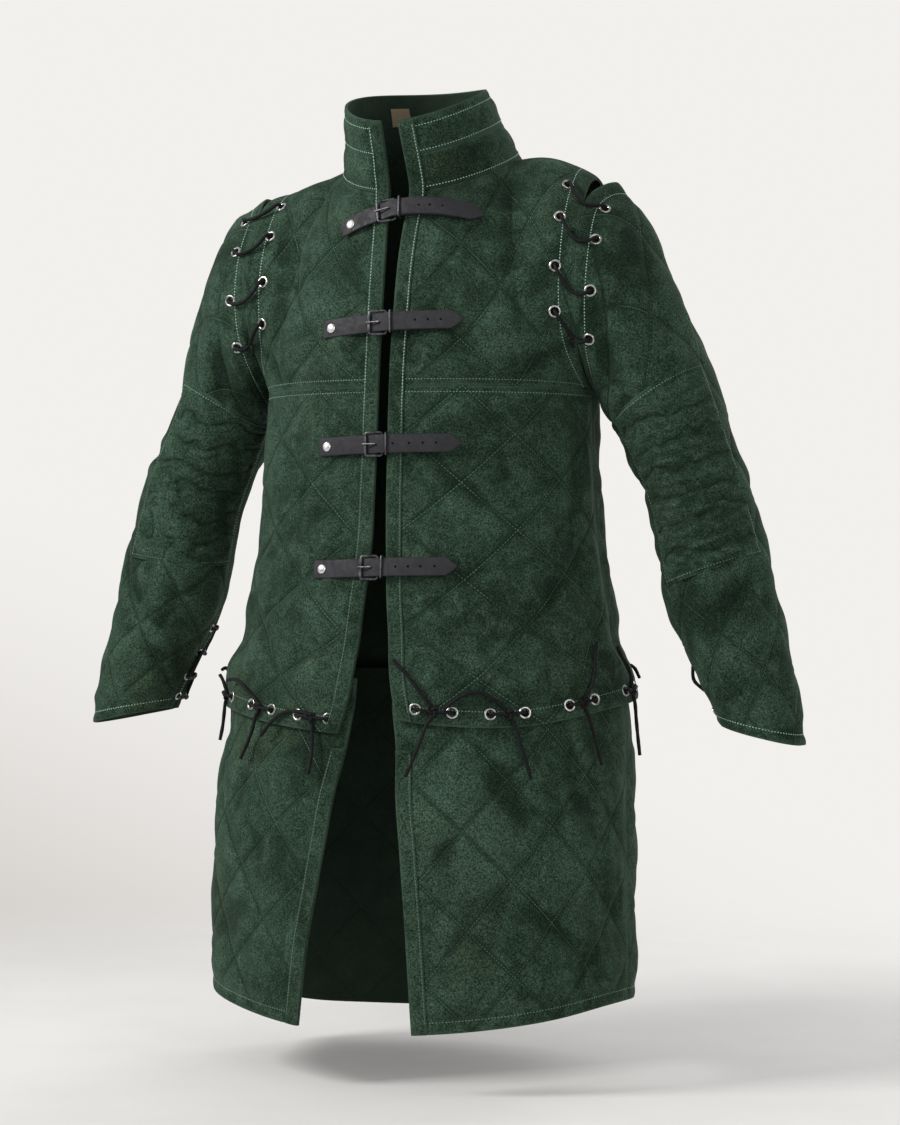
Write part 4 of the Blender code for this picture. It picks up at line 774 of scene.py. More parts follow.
panel("skirt_back", lambda u, v: skirt(blend(PI / 2, 3 * PI / 2, u), v),
      fine(GAP / 4, 1 - GAP / 4, 0.68, 0.0038), fine(0, 1, 0.40, 0.0038), -1,
      (SKIRT_BACK_COLUMNS, SKIRT_ROWS), flat=(0.004, 0.004, 0.070, 0.014), press=((3, SKIRT_HEM_STITCH),),
      creases=SKIRT_BACK_CREASES, seed=61, soft=0.0014)
print("collar and skirt:", len(CLOTHS), "panels so far")

# %% Sleeves and arm patches
Patch = namedtuple("Patch", "side first last tilt")
PATCHES = (Patch(1, 10, 17, 0.0), Patch(-1, 12, 19, 1.1))
PATCH_ROWS = (6, 15)
SLEEVE_COLUMNS, SLEEVE_ROWS = numbered(np.arange(21.0)), numbered(np.linspace(0, 1, 24))
# column 15 is the arm's outer front, 10 its outer back, 5 its inner back, 0 and 20 the seam
SLEEVE_CREASES = {
    1: (Crease(15.5, 0.16, 80, 0.15, 0.011, 0.0040, 1.0), Crease(17.5, 0.22, 70, 0.13, 0.010, 0.0034, -1.0),
        Crease(18.5, 0.10, 60, 0.09, 0.009, 0.0030, 1.5), Crease(16.5, 0.285, 20, 0.12, 0.009, 0.0026, 3.0),
        Crease(18.2, 0.34, -15, 0.11, 0.010, 0.0034, 3.0), Crease(18.6, 0.44, 10, 0.10, 0.010, 0.0032, -3.0),
        Crease(18.4, 0.54, -10, 0.10, 0.010, 0.0030, 3.0), Crease(13.0, 0.73, 40, 0.11, 0.010, 0.0024, 2.0),
        Crease(16.8, 0.80, 60, 0.12, 0.010, 0.0024, -2.0), Crease(6.0, 0.25, 75, 0.14, 0.011, 0.0034, 1.0),
        Crease(5.0, 0.50, 0, 0.12, 0.011, 0.0034, 2.0), Crease(8.5, 0.18, 80, 0.12, 0.010, 0.0028, -1.0)),
    -1: (Crease(15.0, 0.18, 80, 0.15, 0.011, 0.0040, 1.0), Crease(17.2, 0.24, 65, 0.13, 0.010, 0.0034, -1.0),
         Crease(12.5, 0.24, 75, 0.12, 0.010, 0.0030, 1.5), Crease(18.6, 0.36, -15, 0.10, 0.010, 0.0032, 3.0),
         Crease(11.0, 0.42, 5, 0.10, 0.010, 0.0030, -3.0), Crease(14.0, 0.74, 35, 0.12, 0.010, 0.0026, 2.0),
         Crease(17.0, 0.82, 60, 0.12, 0.010, 0.0024, -2.0), Crease(6.0, 0.28, 75, 0.14, 0.011, 0.0034, 1.0),
         Crease(4.5, 0.52, 0, 0.12, 0.011, 0.0034, 2.0)),
}


def settle_sleeve(side):
    def settle(u, v, normals):
        keep = side * np.minimum(side * normals[..., 0], 0)
        normals[..., 0] = blend(normals[..., 0], keep, ease(1 - v / 0.05))
        return unit(normals)
    return settle


for side, word in WORDS.items():
    panel(f"sleeve_{word}", lambda u, v: sleeve_cloth(side, u, v), np.linspace(0, 20, 129),
          np.linspace(0, 1, 201), side, (SLEEVE_COLUMNS, SLEEVE_ROWS), wall=WALL * 0.9,
          flat=(0.012, 0.012, 0.024, 0.016),
          press=((0, SEAM_EDGE), (1, SEAM_EDGE), (2, HEAD_STITCH), (3, CUFF_STITCH)),
          creases=SLEEVE_CREASES[side], settle=settle_sleeve(side), seed=71 + side, soft=0.0018)


CHANNELS, PATCH_GRID = 7, (76, 112)


def channel_patch(patch, word):
    """An arm patch: the sleeve's own form moved out, padded in wrinkled channels across it."""
    a = np.linspace(0, 1, PATCH_GRID[0])[:, None]
    b = np.linspace(0, 1, PATCH_GRID[1])[None, :]
    column = blend(patch.first, patch.last, a + 0 * b)
    row = blend(PATCH_ROWS[0], PATCH_ROWS[1], b + 0 * a) - patch.tilt * a
    base = sleeve_cloth(patch.side, column, row / 23)
    normals = grid_normals(base, patch.side)
    edges, nearest = edge_distances(base)
    bend = 0.20 * wander(base, 0.06, 81 + patch.side) + 0.10 * wander(base, 0.022, 83 + patch.side)
    channel = np.abs(((b + 0 * a) * CHANNELS + bend + 0.5) % 1 - 0.5) * 2
    quilt = 0.0030 * (1 - np.exp(-channel / 0.30)) * ease(nearest / 0.012)
    crumple = 0.0007 * wander(base * np.array([1, 1, 2.2]), 0.020, 85 + patch.side)
    off = 0.0005 if patch.tilt == 0 else 0.0009
    outer = off + 0.0018 + quilt + (0.0012 + crumple) * ease(nearest / 0.006)
    top = base + normals * outer[..., None]
    under = base + normals * (off - 0.0010)
    keep_cloth(f"arm_patch_{word}", patch.side, top, under, us=a[:, 0], vs=b[0], i=channel * 2,
               j=channel * 0, edges=edges, nearest=nearest, level=channel,
               fold=(crumple + 0.0004) * 1400)


for patch in PATCHES:
    channel_patch(patch, WORDS[patch.side])
for cloth in CLOTHS.values():
    obj = sew_panel(cloth)
    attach(obj, "root")
    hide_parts(cloth["name"])
triangles = sum(2 * len(cloth["obj"].data.polygons) for cloth in CLOTHS.values())
print(len(CLOTHS), "padded pieces,", triangles, "triangles")

# %% [markdown]
# ## Reading places off a finished panel
# Everything that is sewn or laid on a panel has to follow its diamonds and creases. These
# helpers read a place, a facing, or a whole line at a fixed distance from an edge, off the
# panel's own grid, as a maker would measure in from the edge with a ruler.

# %% Places and lines on a panel
def on_cloth(name, u, v, height=0.0):
    """Points and facings on a panel's outer face, the points raised by a height."""
    cloth = CLOTHS[name]
    us, vs = cloth["us"], cloth["vs"]
    a = np.interp(u, us, np.arange(len(us)))
    b = np.interp(v, vs, np.arange(len(vs)))
    i, j = np.minimum(a.astype(int), len(us) - 2), np.minimum(b.astype(int), len(vs) - 2)
    s, t = (a - i)[..., None], (b - j)[..., None]

    def read(values):
        low = blend(values[i, j], values[i + 1, j], s)
        return blend(low, blend(values[i, j + 1], values[i + 1, j + 1], s), t)

    normal = unit(read(cloth["normals"]))
    return read(cloth["top"]) + normal * height, normal


def inset_line(name, edge, inset, first, last, height=0.0):
    """A line at a distance in from one edge of a panel, trimmed at both of its ends."""
    cloth = CLOTHS[name]
    distance = cloth["edges"][edge]
    lines = []
    for values in (cloth["top"], cloth["normals"]):
        if edge >= 2:
            values, away = np.swapaxes(values, 0, 1), distance.T
        else:
            away = distance
        if edge in (1, 3):
            values, away = values[::-1], away[::-1]
        rows = range(values.shape[1])
        lines.append(np.array([[np.interp(inset, away[:, k], values[:, k, axis]) for axis in range(3)]
                               for k in rows]))
    points, normals = lines[0] + unit(lines[1]) * height, unit(lines[1])
    walked = walk(points)
    count = max(int((walked[-1] - first - last) / 0.002), 4)
    stops = np.linspace(first, walked[-1] - last, count)
    return read_along(stops, walked, points), unit(read_along(stops, walked, normals))


def show(obj, node=None):
    """Puts a piece on the coat, in place of its plain solid if it has one."""
    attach(obj, "root")
    if node is not None:
        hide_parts(node)
    return obj


print("middle of the left chest:", np.round(on_cloth("front_upper_left", 0.5, 0.5)[0], 3))

# %% [markdown]
# ## Edge strips and a blank label
# The front edges would fray and stretch, so the maker folds a strip of thinner suede and
# stitches it down from the hem right up the stand of the collar. The skirt's front edges have
# the same. A strip here is a thin sheet laid on the finished panels, its rows smoothed a little
# along their length because a folded strip bridges the small dips of the cloth.
# Inside the collar sits a small woven label, left blank.

# %% Strips along the front edges
STRIP_WALL, STRIP_WIDTH, STRIP_LOW = 0.0014, 0.0180, 0.0004
ACROSS_STRIP = np.array([0.0, 0.0008, 0.0018, *np.linspace(0.0035, STRIP_WIDTH - 0.0018, 7),
                         STRIP_WIDTH - 0.0008, STRIP_WIDTH])


def thin_piece(name, base, sign, low, wall, rounding=0.0016, normals=None):
    """A thin closed sheet, its underside at a height over the base and its edges rounded."""
    normals = grid_normals(base, sign) if normals is None else normals
    edges, nearest = edge_distances(base)
    full = 0.35 + 0.65 * np.sqrt(1 - (1 - np.clip(nearest / rounding, 0, 1)) ** 2)
    top = base + normals * (low + wall * (0.5 + 0.5 * full))[..., None]
    under = base + normals * (low + wall * (0.5 - 0.5 * full))[..., None]
    us, vs = (np.linspace(0, 1, count) for count in base.shape[:2])
    keep_cloth(name, sign, top, under, us=us, vs=vs, i=0 * nearest + 2, j=0 * nearest, edges=edges,
               nearest=nearest, level=0 * nearest + 1, fold=0 * nearest)


def across_edge(name, v, side_of_start=True):
    """Points from a panel's front edge inwards over a strip's width, for each v."""
    cloth = CLOTHS[name]
    b = np.interp(v, cloth["vs"], np.arange(len(cloth["vs"])))
    distance = cloth["edges"][0 if side_of_start else 1]
    order = slice(None) if side_of_start else slice(None, None, -1)
    rows = []
    for place in b:
        j = min(int(place), len(cloth["vs"]) - 2)
        row = blend(cloth["top"][:, j], cloth["top"][:, j + 1], place - j)[order]
        away = blend(distance[:, j], distance[:, j + 1], place - j)[order]
        rows.append(read_along(ACROSS_STRIP, away, row))
    return np.array(rows).transpose(1, 0, 2)


def smoothed(points, times):
    for _ in range(times):
        points = points.copy()
        points[:, 1:-1] = 0.5 * points[:, 1:-1] + 0.25 * (points[:, :-2] + points[:, 2:])
    return points


for side, word in WORDS.items():
    start = side > 0
    rows = np.concatenate([
        across_edge(f"front_lower_{word}", fine(-1, -0.004, 0.39)),
        across_edge(f"front_upper_{word}", fine(0.006, 0.975, 0.22)),
        across_edge("collar_lower", np.linspace(0.07, 0.49, 14), start),
        across_edge("collar_upper", np.linspace(0.51, 0.985, 14), start),
    ], axis=1)
    thin_piece(f"edge_strip_{word}", smoothed(rows, 6), side, STRIP_LOW, STRIP_WALL)
    rows = across_edge(f"skirt_front_{word}", fine(0.20, 1.0, 0.31))
    thin_piece(f"skirt_strip_{word}", smoothed(rows, 4), -side, STRIP_LOW, STRIP_WALL)

LABEL_DEG, LABEL_HALF_DEG, LABEL_WALL = 219, 8, 0.0006      # degrees round the neck
turns = np.radians(np.linspace(LABEL_DEG + LABEL_HALF_DEG, LABEL_DEG - LABEL_HALF_DEG, 17))
turns, heights = np.meshgrid(turns, np.linspace(0.52, 0.80, 13), indexing="ij")
thin_piece("label", collar(turns, heights), 1, WALL + 0.0010, LABEL_WALL, LABEL_WALL)
for name in ("edge_strip_left", "edge_strip_right", "skirt_strip_left", "skirt_strip_right", "label"):
    show(sew_panel(CLOTHS[name]), name)
print("edge strips:", round(float(CLOTHS["edge_strip_left"]["edges"][2].max()), 3), "m long")

# %% [markdown]
# ## Topstitching
# Every seam and edge is stitched through from outside with a pale thread. From a step away each
# stitch still shows as a small raised grain, so the stitches are real geometry: a short lozenge
# for each one, all the stitches of a panel in one mesh.

# %% Stitches
STITCH_PITCH, STITCH_LENGTH, STITCH_WIDTH, STITCH_RISE = 0.0036, 0.0033, 0.0014, 0.0005


def stitch_row(points, normals):
    """Lozenges along a line: two ends, two sides and a raised back each."""
    walked = walk(points)
    count = max(int(walked[-1] / STITCH_PITCH), 1)
    stops = (np.arange(count) + 0.5) * walked[-1] / count
    centre, out, along = (read_along(stops, walked, values)
                          for values in (points, normals, np.gradient(points, axis=0)))
    out, along = unit(out), unit(along)
    across = np.cross(out, along)
    half, side = STITCH_LENGTH / 2, STITCH_WIDTH / 2
    corners = np.stack([
        centre - along * half - out * 0.0002, centre + along * half - out * 0.0002,
        centre + across * side, centre + out * STITCH_RISE, centre - across * side,
        centre - out * 0.0004,
    ], axis=1)
    pattern = np.array([(0, 3, 2), (0, 4, 3), (0, 5, 4), (0, 2, 5),
                        (1, 2, 3), (1, 3, 4), (1, 4, 5), (1, 5, 2)])
    faces = (np.arange(count) * 6)[:, None, None] + pattern[None]
    return corners.reshape(-1, 3), faces.reshape(-1, 3)


def stitching(name, rows):
    """All the rows of one stitching, in one mesh."""
    points, faces, start = [], [], 0
    for place, edge, inset, first, last in rows:
        height = 0.0002 if "strip" in place else 0.0
        row_points, row_faces = stitch_row(*inset_line(place, edge, inset, first, last, height))
        points.append(row_points)
        faces.append(row_faces + start)
        start += len(row_points)
    obj = make_mesh("stitches_" + name, np.concatenate(points), np.concatenate(faces), 80)
    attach(obj, "root")
    return obj


SLEEVE_LENGTH = float(CLOTHS["sleeve_left"]["edges"][2][0, -1])
SLIT_LENGTH = SLEEVE_LENGTH * (1 - SLIT_START)
# a row's panel, its edge, how far in from it, and how much stays bare at each end
PAIRED_STITCHES = {
    "front_edge": (("edge_strip", 0, EDGE_STITCH, 0.010, 0.006),
                   ("skirt_strip", 0, EDGE_STITCH, 0.004, 0.012)),
    "front": (("front_lower", 2, HEM_STITCH, 0.004, 0.001),
              ("front_lower", 3, SEAM_STITCH, STRIP_WIDTH, 0.001),
              ("front_upper", 2, SEAM_STITCH, STRIP_WIDTH, 0.001)),
    "armhole": (("front_upper", 1, ARMHOLE_STITCH, 0.004, 0.004),),
    "skirt_hem": (("skirt_front", 3, SKIRT_HEM_STITCH, EDGE_STITCH, 0.001),),
    "sleeve_seam": [("sleeve", edge, SEAM_EDGE, HEAD_STITCH, SLIT_LENGTH) for edge in (0, 1)],
    "sleeve_slit": [("sleeve", edge, SEAM_EDGE * 0.5, SLEEVE_LENGTH - SLIT_LENGTH, CUFF_STITCH)
                    for edge in (0, 1)],
    "sleeve_head": (("sleeve", 2, HEAD_STITCH, 0.006, 0.006),),
    "cuff": (("sleeve", 3, CUFF_STITCH, SEAM_EDGE, SEAM_EDGE),),
    "arm_patch": [("arm_patch", edge, PATCH_STITCH, 0.004, 0.004) for edge in range(4)],
}
BACK_AND_COLLAR_STITCHES = {
    "back": (("back", 2, HEM_STITCH, 0.001, 0.001), ("back", 0, ARMHOLE_STITCH, 0.39, 0.004),
             ("back", 1, ARMHOLE_STITCH, 0.39, 0.004)),
    "skirt_back": (("skirt_back", 3, SKIRT_HEM_STITCH, 0.001, 0.001),),
    "collar": (("collar_lower", 2, COLLAR_SEAM_STITCH, STRIP_WIDTH, STRIP_WIDTH),
               ("collar_upper", 2, COLLAR_SEAM_STITCH, STRIP_WIDTH, STRIP_WIDTH),
               ("collar_upper", 3, COLLAR_TOP_STITCH, STRIP_WIDTH, STRIP_WIDTH)),
}
STITCHED = [stitching(f"{name}_{word}", [(f"{place}_{word}", *row) for place, *row in rows])
            for word in WORDS.values() for name, rows in PAIRED_STITCHES.items()]
STITCHED += [stitching(name, rows) for name, rows in BACK_AND_COLLAR_STITCHES.items()]
print("stitches:", sum(len(obj.data.vertices) for obj in STITCHED) // 6)

# %% [markdown]
# ## Straps, buckles and rivets
# Four short straps close the front. Each is a belt in miniature: a leather tongue riveted to
# the wearer's right front, a wire frame with a roller and a prong, a wire keeper, and under the
# free end a second piece of leather, the chape, that holds the frame to the other front.
# The straps lie on the tops of the diamonds, so each is drawn along the front at a height over
# the cloth. First comes a way to find that line: step across the front until x and z match.

# %% The line of a strap
Strap = namedtuple("Strap", "rivet_z buckle_z tip_z rivet_x buckle_x tip_x chape_x pull")
STRAPS = (
    Strap(-0.088, -0.074, -0.083, -0.052, -0.008, 0.097, 0.070, 0.0),
    Strap(-0.206, -0.202, -0.200, -0.066, -0.006, 0.089, 0.072, 0.0020),
    Strap(-0.340, -0.338, -0.337, -0.068, -0.008, 0.089, 0.072, 0.0009),
    Strap(-0.479, -0.477, -0.475, -0.070, -0.009, 0.089, 0.072, 0.0016),
)
BUCKLE_LENGTH, BUCKLE_WIRE = 0.019, 0.0028
STRAP_WIDTH, LEATHER, CLEAR, TOUCH = 0.021, 0.0024, 0.0004, 0.0003
LOW = PUFF + CLEAR                       # the underside of what lies straight on the quilting
HIGH = LOW + LEATHER + TOUCH             # and of the strap where it runs over its chape


def front(side, u, v):
    u, v = np.asarray(u, float), np.asarray(v, float)
    return front_lower(side, u, v) if v <= 0 else front_upper(side, u, v)


def front_facing(side, u, v):
    v = min(v, 0.97)
    across = front(side, min(u + 0.02, 1), v) - front(side, max(u - 0.02, -0.02), v)
    along = front(side, u, min(v + 0.02, 1)) - front(side, u, max(v - 0.02, -1))
    return unit(np.cross(across, along)) * side


def front_place(x, z):
    side = 1 if x >= 0 else -1
    edge = float(side_value(BODY_OPENING, side, z))
    wanted = max(abs(x), edge)
    u, v = 0.3, (z - CHEST_Z) / (0.22 if z > CHEST_Z else 0.39)
    for _ in range(6):
        here = front(side, u, v)
        across, along = (front(side, u + 0.01, v) - here) / 0.01, (front(side, u, v + 0.01) - here) / 0.01
        matrix = np.array([[side * across[0], side * along[0]], [across[2], along[2]]])
        step = np.linalg.solve(matrix, np.array([wanted - side * here[0], z - here[2]]))
        u, v = min(max(u + step[0], -0.02), 1.0), min(max(v + step[1], -1.0), 1.0)
    point, normal = front(side, u, v), front_facing(side, u, v)
    if abs(x) < edge:
        normal, point = unit(normal * np.array([0, 1, 1])), np.array([x, point[1], point[2]])
    return point, normal


def strap_height(strap, x):
    """One gentle curve through the strap's rivet, its buckle and its tip."""
    a, b, c = strap.rivet_x, strap.buckle_x, strap.tip_x
    return (strap.rivet_z * (x - b) * (x - c) / ((a - b) * (a - c))
            + strap.buckle_z * (x - a) * (x - c) / ((b - a) * (b - c))
            + strap.tip_z * (x - a) * (x - b) / ((c - a) * (c - b)))


def exact_frame(strap, x):
    """The centre point, the way out from the cloth and the way up, at x along a strap."""
    point, normal = front_place(x, strap_height(strap, x))
    ahead, _ = front_place(x + 0.004, strap_height(strap, x + 0.004))
    behind, _ = front_place(x - 0.004, strap_height(strap, x - 0.004))
    along = unit(ahead - behind)
    up = unit(np.cross(along, -normal))
    up = up if up[2] > 0 else -up
    out = unit(np.cross(up, along))
    return point, out * np.sign(out @ normal), up


@lru_cache(None)
def strap_line(strap):
    """The frames at even places along a strap, worked out once."""
    places = np.linspace(strap.rivet_x - 0.013, strap.tip_x + 0.001, 28)
    frames = [exact_frame(strap, x) for x in places]
    return places, [np.array([frame[k] for frame in frames]) for k in range(3)]


def strap_frame(strap, x):
    places, values = strap_line(strap)
    point, out, up = (np.array([np.interp(x, places, value[:, k]) for k in range(3)]) for value in values)
    return point, unit(out), unit(up)


def rivet_pull(strap, x):
    return strap.pull * (1 - ease((x - strap.rivet_x) / (strap.buckle_x - 0.012 - strap.rivet_x)))


print("strap 2 crosses the opening at", np.round(strap_frame(STRAPS[1], 0.0)[0], 3))

# %% Leather bands
def band(name, strap, stations, widths, heights):
    """A band with a slightly crowned face and rounded edges, along a strap's line."""
    across = np.array([-1.0, -0.93, -0.8, -0.55, -0.25, 0.0, 0.25, 0.55, 0.8, 0.93, 1.0])
    base, normals = [], []
    for x, width, height in zip(stations, widths, heights):
        point, out, up = strap_frame(strap, x)
        base.append([point + up * width / 2 * s + out * (height + 0.0003 * (1 - s * s)) for s in across])
        normals.append([out] * len(across))
    base, normals = np.array(base), np.array(normals)
    facing = grid_normals(base, 1)
    sign = 1 if (facing * normals).sum() > 0 else -1
    thin_piece(name, base, sign, 0.0, LEATHER, 0.0011, normals)
    return show(sew_panel(CLOTHS[name]), name)


for number, strap in enumerate(STRAPS, 1):
    over = strap.buckle_x - BUCKLE_LENGTH / 2 + 0.0035
    down = strap.buckle_x + BUCKLE_LENGTH / 2 - 0.0030
    start, end = strap.rivet_x - 0.012, strap.tip_x
    stations = np.concatenate([[start, start + 0.001], np.arange(start + 0.003, end - 0.003, 0.0022),
                               [end - 0.002, end - 0.0008, end]])
    taper = np.interp(stations, [start, start + 0.0012, end - 0.012, end - 0.006, end],
                      [0.90, 1.0, 1.0, 0.62, 0.12])
    heights = [blend(LOW, HIGH + 0.0006, float(ease((x - over) / (down - over)))) - rivet_pull(strap, x)
               for x in stations]
    band(f"strap_{number}", strap, stations, STRAP_WIDTH * taper, heights)
    first = strap.buckle_x + BUCKLE_LENGTH / 2 + BUCKLE_WIRE / 2 + 0.0009
    stations = np.linspace(first, strap.chape_x, 24)
    band(f"chape_{number}", strap, stations, [STRAP_WIDTH * 0.94] * 24, [LOW] * 24)
print("straps of", round((STRAPS[1].tip_x - STRAPS[1].rivet_x + 0.012) * 1000), "mm")

# %% [markdown]
# The metal is bent from wire, so it is drawn as wire: a round bar swept along a path with
# rounded corners. The roller, the rivet caps and the eyelets are turned shapes, drawn as a
# profile spun round an axis.

# %% Wire and turned shapes
def rounded_path(corners, radius, closed, steps=5):
    """The corners of a bent wire with each bend drawn as a short curve."""
    count, path = len(corners), []
    for k, corner in enumerate(corners):
        if not closed and k in (0, count - 1):
            path.append(corner)
            continue
        before, after = corners[k - 1], corners[(k + 1) % count]
        a, b = corner + unit(before - corner) * radius, corner + unit(after - corner) * radius
        for t in np.linspace(0, 1, steps):
            path.append((1 - t) ** 2 * a + 2 * t * (1 - t) * corner + t * t * b)
    return np.array(path)


def tube_faces(sides, rings, closed=False):
    """The quads between neighbouring rings of a tube, and a cap at each open end."""
    faces = []
    for k in range(rings if closed else rings - 1):
        near, far = sides * k, sides * ((k + 1) % rings)
        faces += [(near + c, near + (c + 1) % sides, far + (c + 1) % sides, far + c) for c in range(sides)]
    if not closed:
        faces += [tuple(range(sides))[::-1], tuple(range(sides * (rings - 1), sides * rings))]
    return faces


def wire(path, radius, closed, sides=10, flat=1.0, out=None):
    """A round or flattened bar along a path; returns its points and faces."""
    along = np.roll(path, -1, 0) - np.roll(path, 1, 0) if closed else np.gradient(path, axis=0)
    along = unit(along)
    reference = np.array([0.0, -1.0, 0.0]) if out is None else np.asarray(out, float)
    first = unit(reference - along * (along @ reference)[:, None])
    second = np.cross(along, first)
    turns = 2 * PI * np.arange(sides) / sides
    ring = (first[:, None] * np.cos(turns)[None, :, None] * flat
            + second[:, None] * np.sin(turns)[None, :, None]) * radius
    return (path[:, None] + ring).reshape(-1, 3), tube_faces(sides, len(path), closed)


def turned(centre, axis, up, profile, sides=24):
    """A profile of (radius, height) pairs spun round an axis; the ends on the axis are closed."""
    axis, across = unit(axis), unit(np.cross(axis, up))
    up = np.cross(across, axis)
    turns = 2 * PI * np.arange(sides) / sides
    ring = across * np.cos(turns)[:, None] + up * np.sin(turns)[:, None]
    points = np.concatenate([centre + axis * height + ring * radius for radius, height in profile])
    return points, tube_faces(sides, len(profile))


def joined(name, parts, smooth_angle=45):
    points, faces, start = [], [], 0
    for part_points, part_faces in parts:
        points.append(part_points)
        faces += [tuple(k + start for k in face) for face in part_faces]
        start += len(part_points)
    return make_mesh(name, np.concatenate(points), faces, smooth_angle)


def placed(strap, x, height, tall=0.0):
    point, out, up = strap_frame(strap, x)
    return point + out * height + up * tall


for number, strap in enumerate(STRAPS, 1):
    left, right = strap.buckle_x - BUCKLE_LENGTH / 2, strap.buckle_x + BUCKLE_LENGTH / 2
    tall = STRAP_WIDTH / 2 + 0.0011 + BUCKLE_WIRE / 2
    over, under = LOW + LEATHER + TOUCH + BUCKLE_WIRE / 2, LOW + BUCKLE_WIRE / 2 - 0.0006
    corners = [placed(strap, left, over, -tall), placed(strap, left, over, tall),
               placed(strap, right, under, tall), placed(strap, right, under, -tall)]
    _, out, up = strap_frame(strap, strap.buckle_x)
    frame_wire = wire(rounded_path(corners, 0.0032, True), BUCKLE_WIRE / 2, True, 12, 0.85, out)
    ends = [placed(strap, left, over, end) for end in (-tall + 0.0034, tall - 0.0034)]
    roller = wire(np.linspace(*ends, 5), BUCKLE_WIRE / 2 + 0.0005, False, 14, 1.0, out)
    show(joined(f"buckle_frame_{number}", [frame_wire, roller]), f"buckle_{number}")
    rise = LOW + LEATHER + 2 * TOUCH + BUCKLE_WIRE + 0.0010
    mid = HIGH + LEATHER + TOUCH + 0.0015
    path = np.array([placed(strap, left - 0.0022, rise), placed(strap, left + 0.003, rise + 0.0002),
                     placed(strap, left + 0.008, rise + 0.0001), placed(strap, left + 0.0135, mid + 0.0004)])
    show(joined(f"buckle_prong_{number}", [wire(path, 0.0011, False, 10, 0.75, out)]),
         f"prong_{number}")
    x = right + 0.0065
    keeper_tall, top = STRAP_WIDTH / 2 + 0.0018, HIGH + 0.0006 + LEATHER + 2 * CLEAR + 0.0012
    corners = [placed(strap, x, LOW + 0.0001, -keeper_tall), placed(strap, x, top, -keeper_tall),
               placed(strap, x, top, keeper_tall), placed(strap, x, LOW + 0.0001, keeper_tall)]
    keeper = wire(rounded_path(corners, 0.0014, False), 0.0010, False, 10)
    show(joined(f"strap_keeper_{number}", [keeper]),
         f"keeper_{number}")
    point, out, up = strap_frame(strap, strap.rivet_x)
    base = point + out * (LOW + LEATHER + TOUCH - strap.pull)
    cap = turned(base, out, up, [(0.0052, -0.0002), (0.0056, 0.0002), (0.0055, 0.0007), (0.0048, 0.0015),
                                 (0.0036, 0.0021), (0.0020, 0.0025), (0.0007, 0.0026)])
    show(joined(f"rivet_cap_{number}", [cap], 60), f"rivet_{number}")

HOLES = ((0.0175, 0.029, 0.0425), (0.0245, 0.0385, 0.0525), (0.0040, 0.0225, 0.0375, 0.0515),
         (0.0125, 0.0265, 0.0400, 0.0550))
holes = []
# Each punched hole is a thin near-black disc on the strap, the painted shade of the hole.
for strap, places in zip(STRAPS, HOLES):
    for x in places:
        point, out, up = strap_frame(strap, strap.buckle_x + BUCKLE_LENGTH / 2 + 0.010 + x)
        top = point + out * (HIGH + 0.0006 + LEATHER + 0.0003)
        holes.append(turned(top, out, up, [(0.0014, -0.0004), (0.0014, 0.00010), (0.0006, 0.00012)], 14))
strap_holes = joined("strap_holes", holes)
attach(strap_holes, "root")
print("punched holes:", len(holes))

# %% [markdown]
# ## Eyelets
# Every lace and tie runs through a pressed metal eyelet: a ring of bright metal with a rolled
# rim round a dark hole. They stand in pairs along the hem of the body, round the armholes and
# heads of the sleeves, and along the slit of each cuff.

# %% Eyelets along the hem, the shoulders and the cuffs
TIE_ANGLES = (17, 37, 61, 88, 125, 155, -17, -37, -61, -88, -125, -155)
EYELET_APART = 4.9                        # degrees from a tie to each of its eyelets
FRONT_EYELETS, BACK_EYELETS, EYELET_IN = (118, 88, 57, 32), (-50, -95), 0.025
CUFF_RUNGS, CUFF_REACH = (0.765, 0.835, 0.905, 0.965), 0.010
CUFF_COLUMN = 20 * CUFF_REACH / (2 * PI * FOREARM_RADIUS)    # of the sleeve's 20 columns
RIM = ((0.0070, -0.0006), (0.0071, 0.0001), (0.0068, 0.0007), (0.0060, 0.0011), (0.0050, 0.0009),
       (0.0043, 0.0003), (0.0041, -0.0006))
SMALL_RIM = tuple((radius * 0.72, height * 0.8) for radius, height in RIM)
rims, hole_shades = [], []


def eyelet(point, normal, rim=RIM):
    up = np.array([0.0, 0.0, 1.0])
    rims.append(turned(point, normal, up, rim, 22))
    # A near-black disc in the hole, its painted shade.
    hole_shades.append(turned(point, normal, up, [(rim[-1][0] * 1.08, -0.0008), (rim[-1][0] * 1.05, 0.00005),
                                           (rim[-1][0] * 0.4, 0.0001)], 18))


def hem_eyelet(degrees):
    """On the hem band of the body, at an angle round the waist."""
    angle = math.radians(degrees)
    z = float(body_hem_z(angle)) + TIE_ABOVE_HEM
    if abs(degrees) < 90:
        side, word = (1, "left") if degrees > 0 else (-1, "right")
        v = (z - CHEST_Z) / (CHEST_Z - float(body_hem_z(angle)))
        first = float(front_level(side, np.array(0.0), np.array(blend(CHEST_Z, LOWEST_HEM_Z, -v))))
        u = (abs(angle) - first) / (PI / 2 - first)
        return on_cloth(f"front_lower_{word}", np.array(u), np.array(v))
    u = (angle % (2 * PI) - PI / 2) / PI
    return on_cloth("back", np.array(u), np.array((z - CHEST_Z) / (CHEST_Z - float(body_hem_z(angle)))))


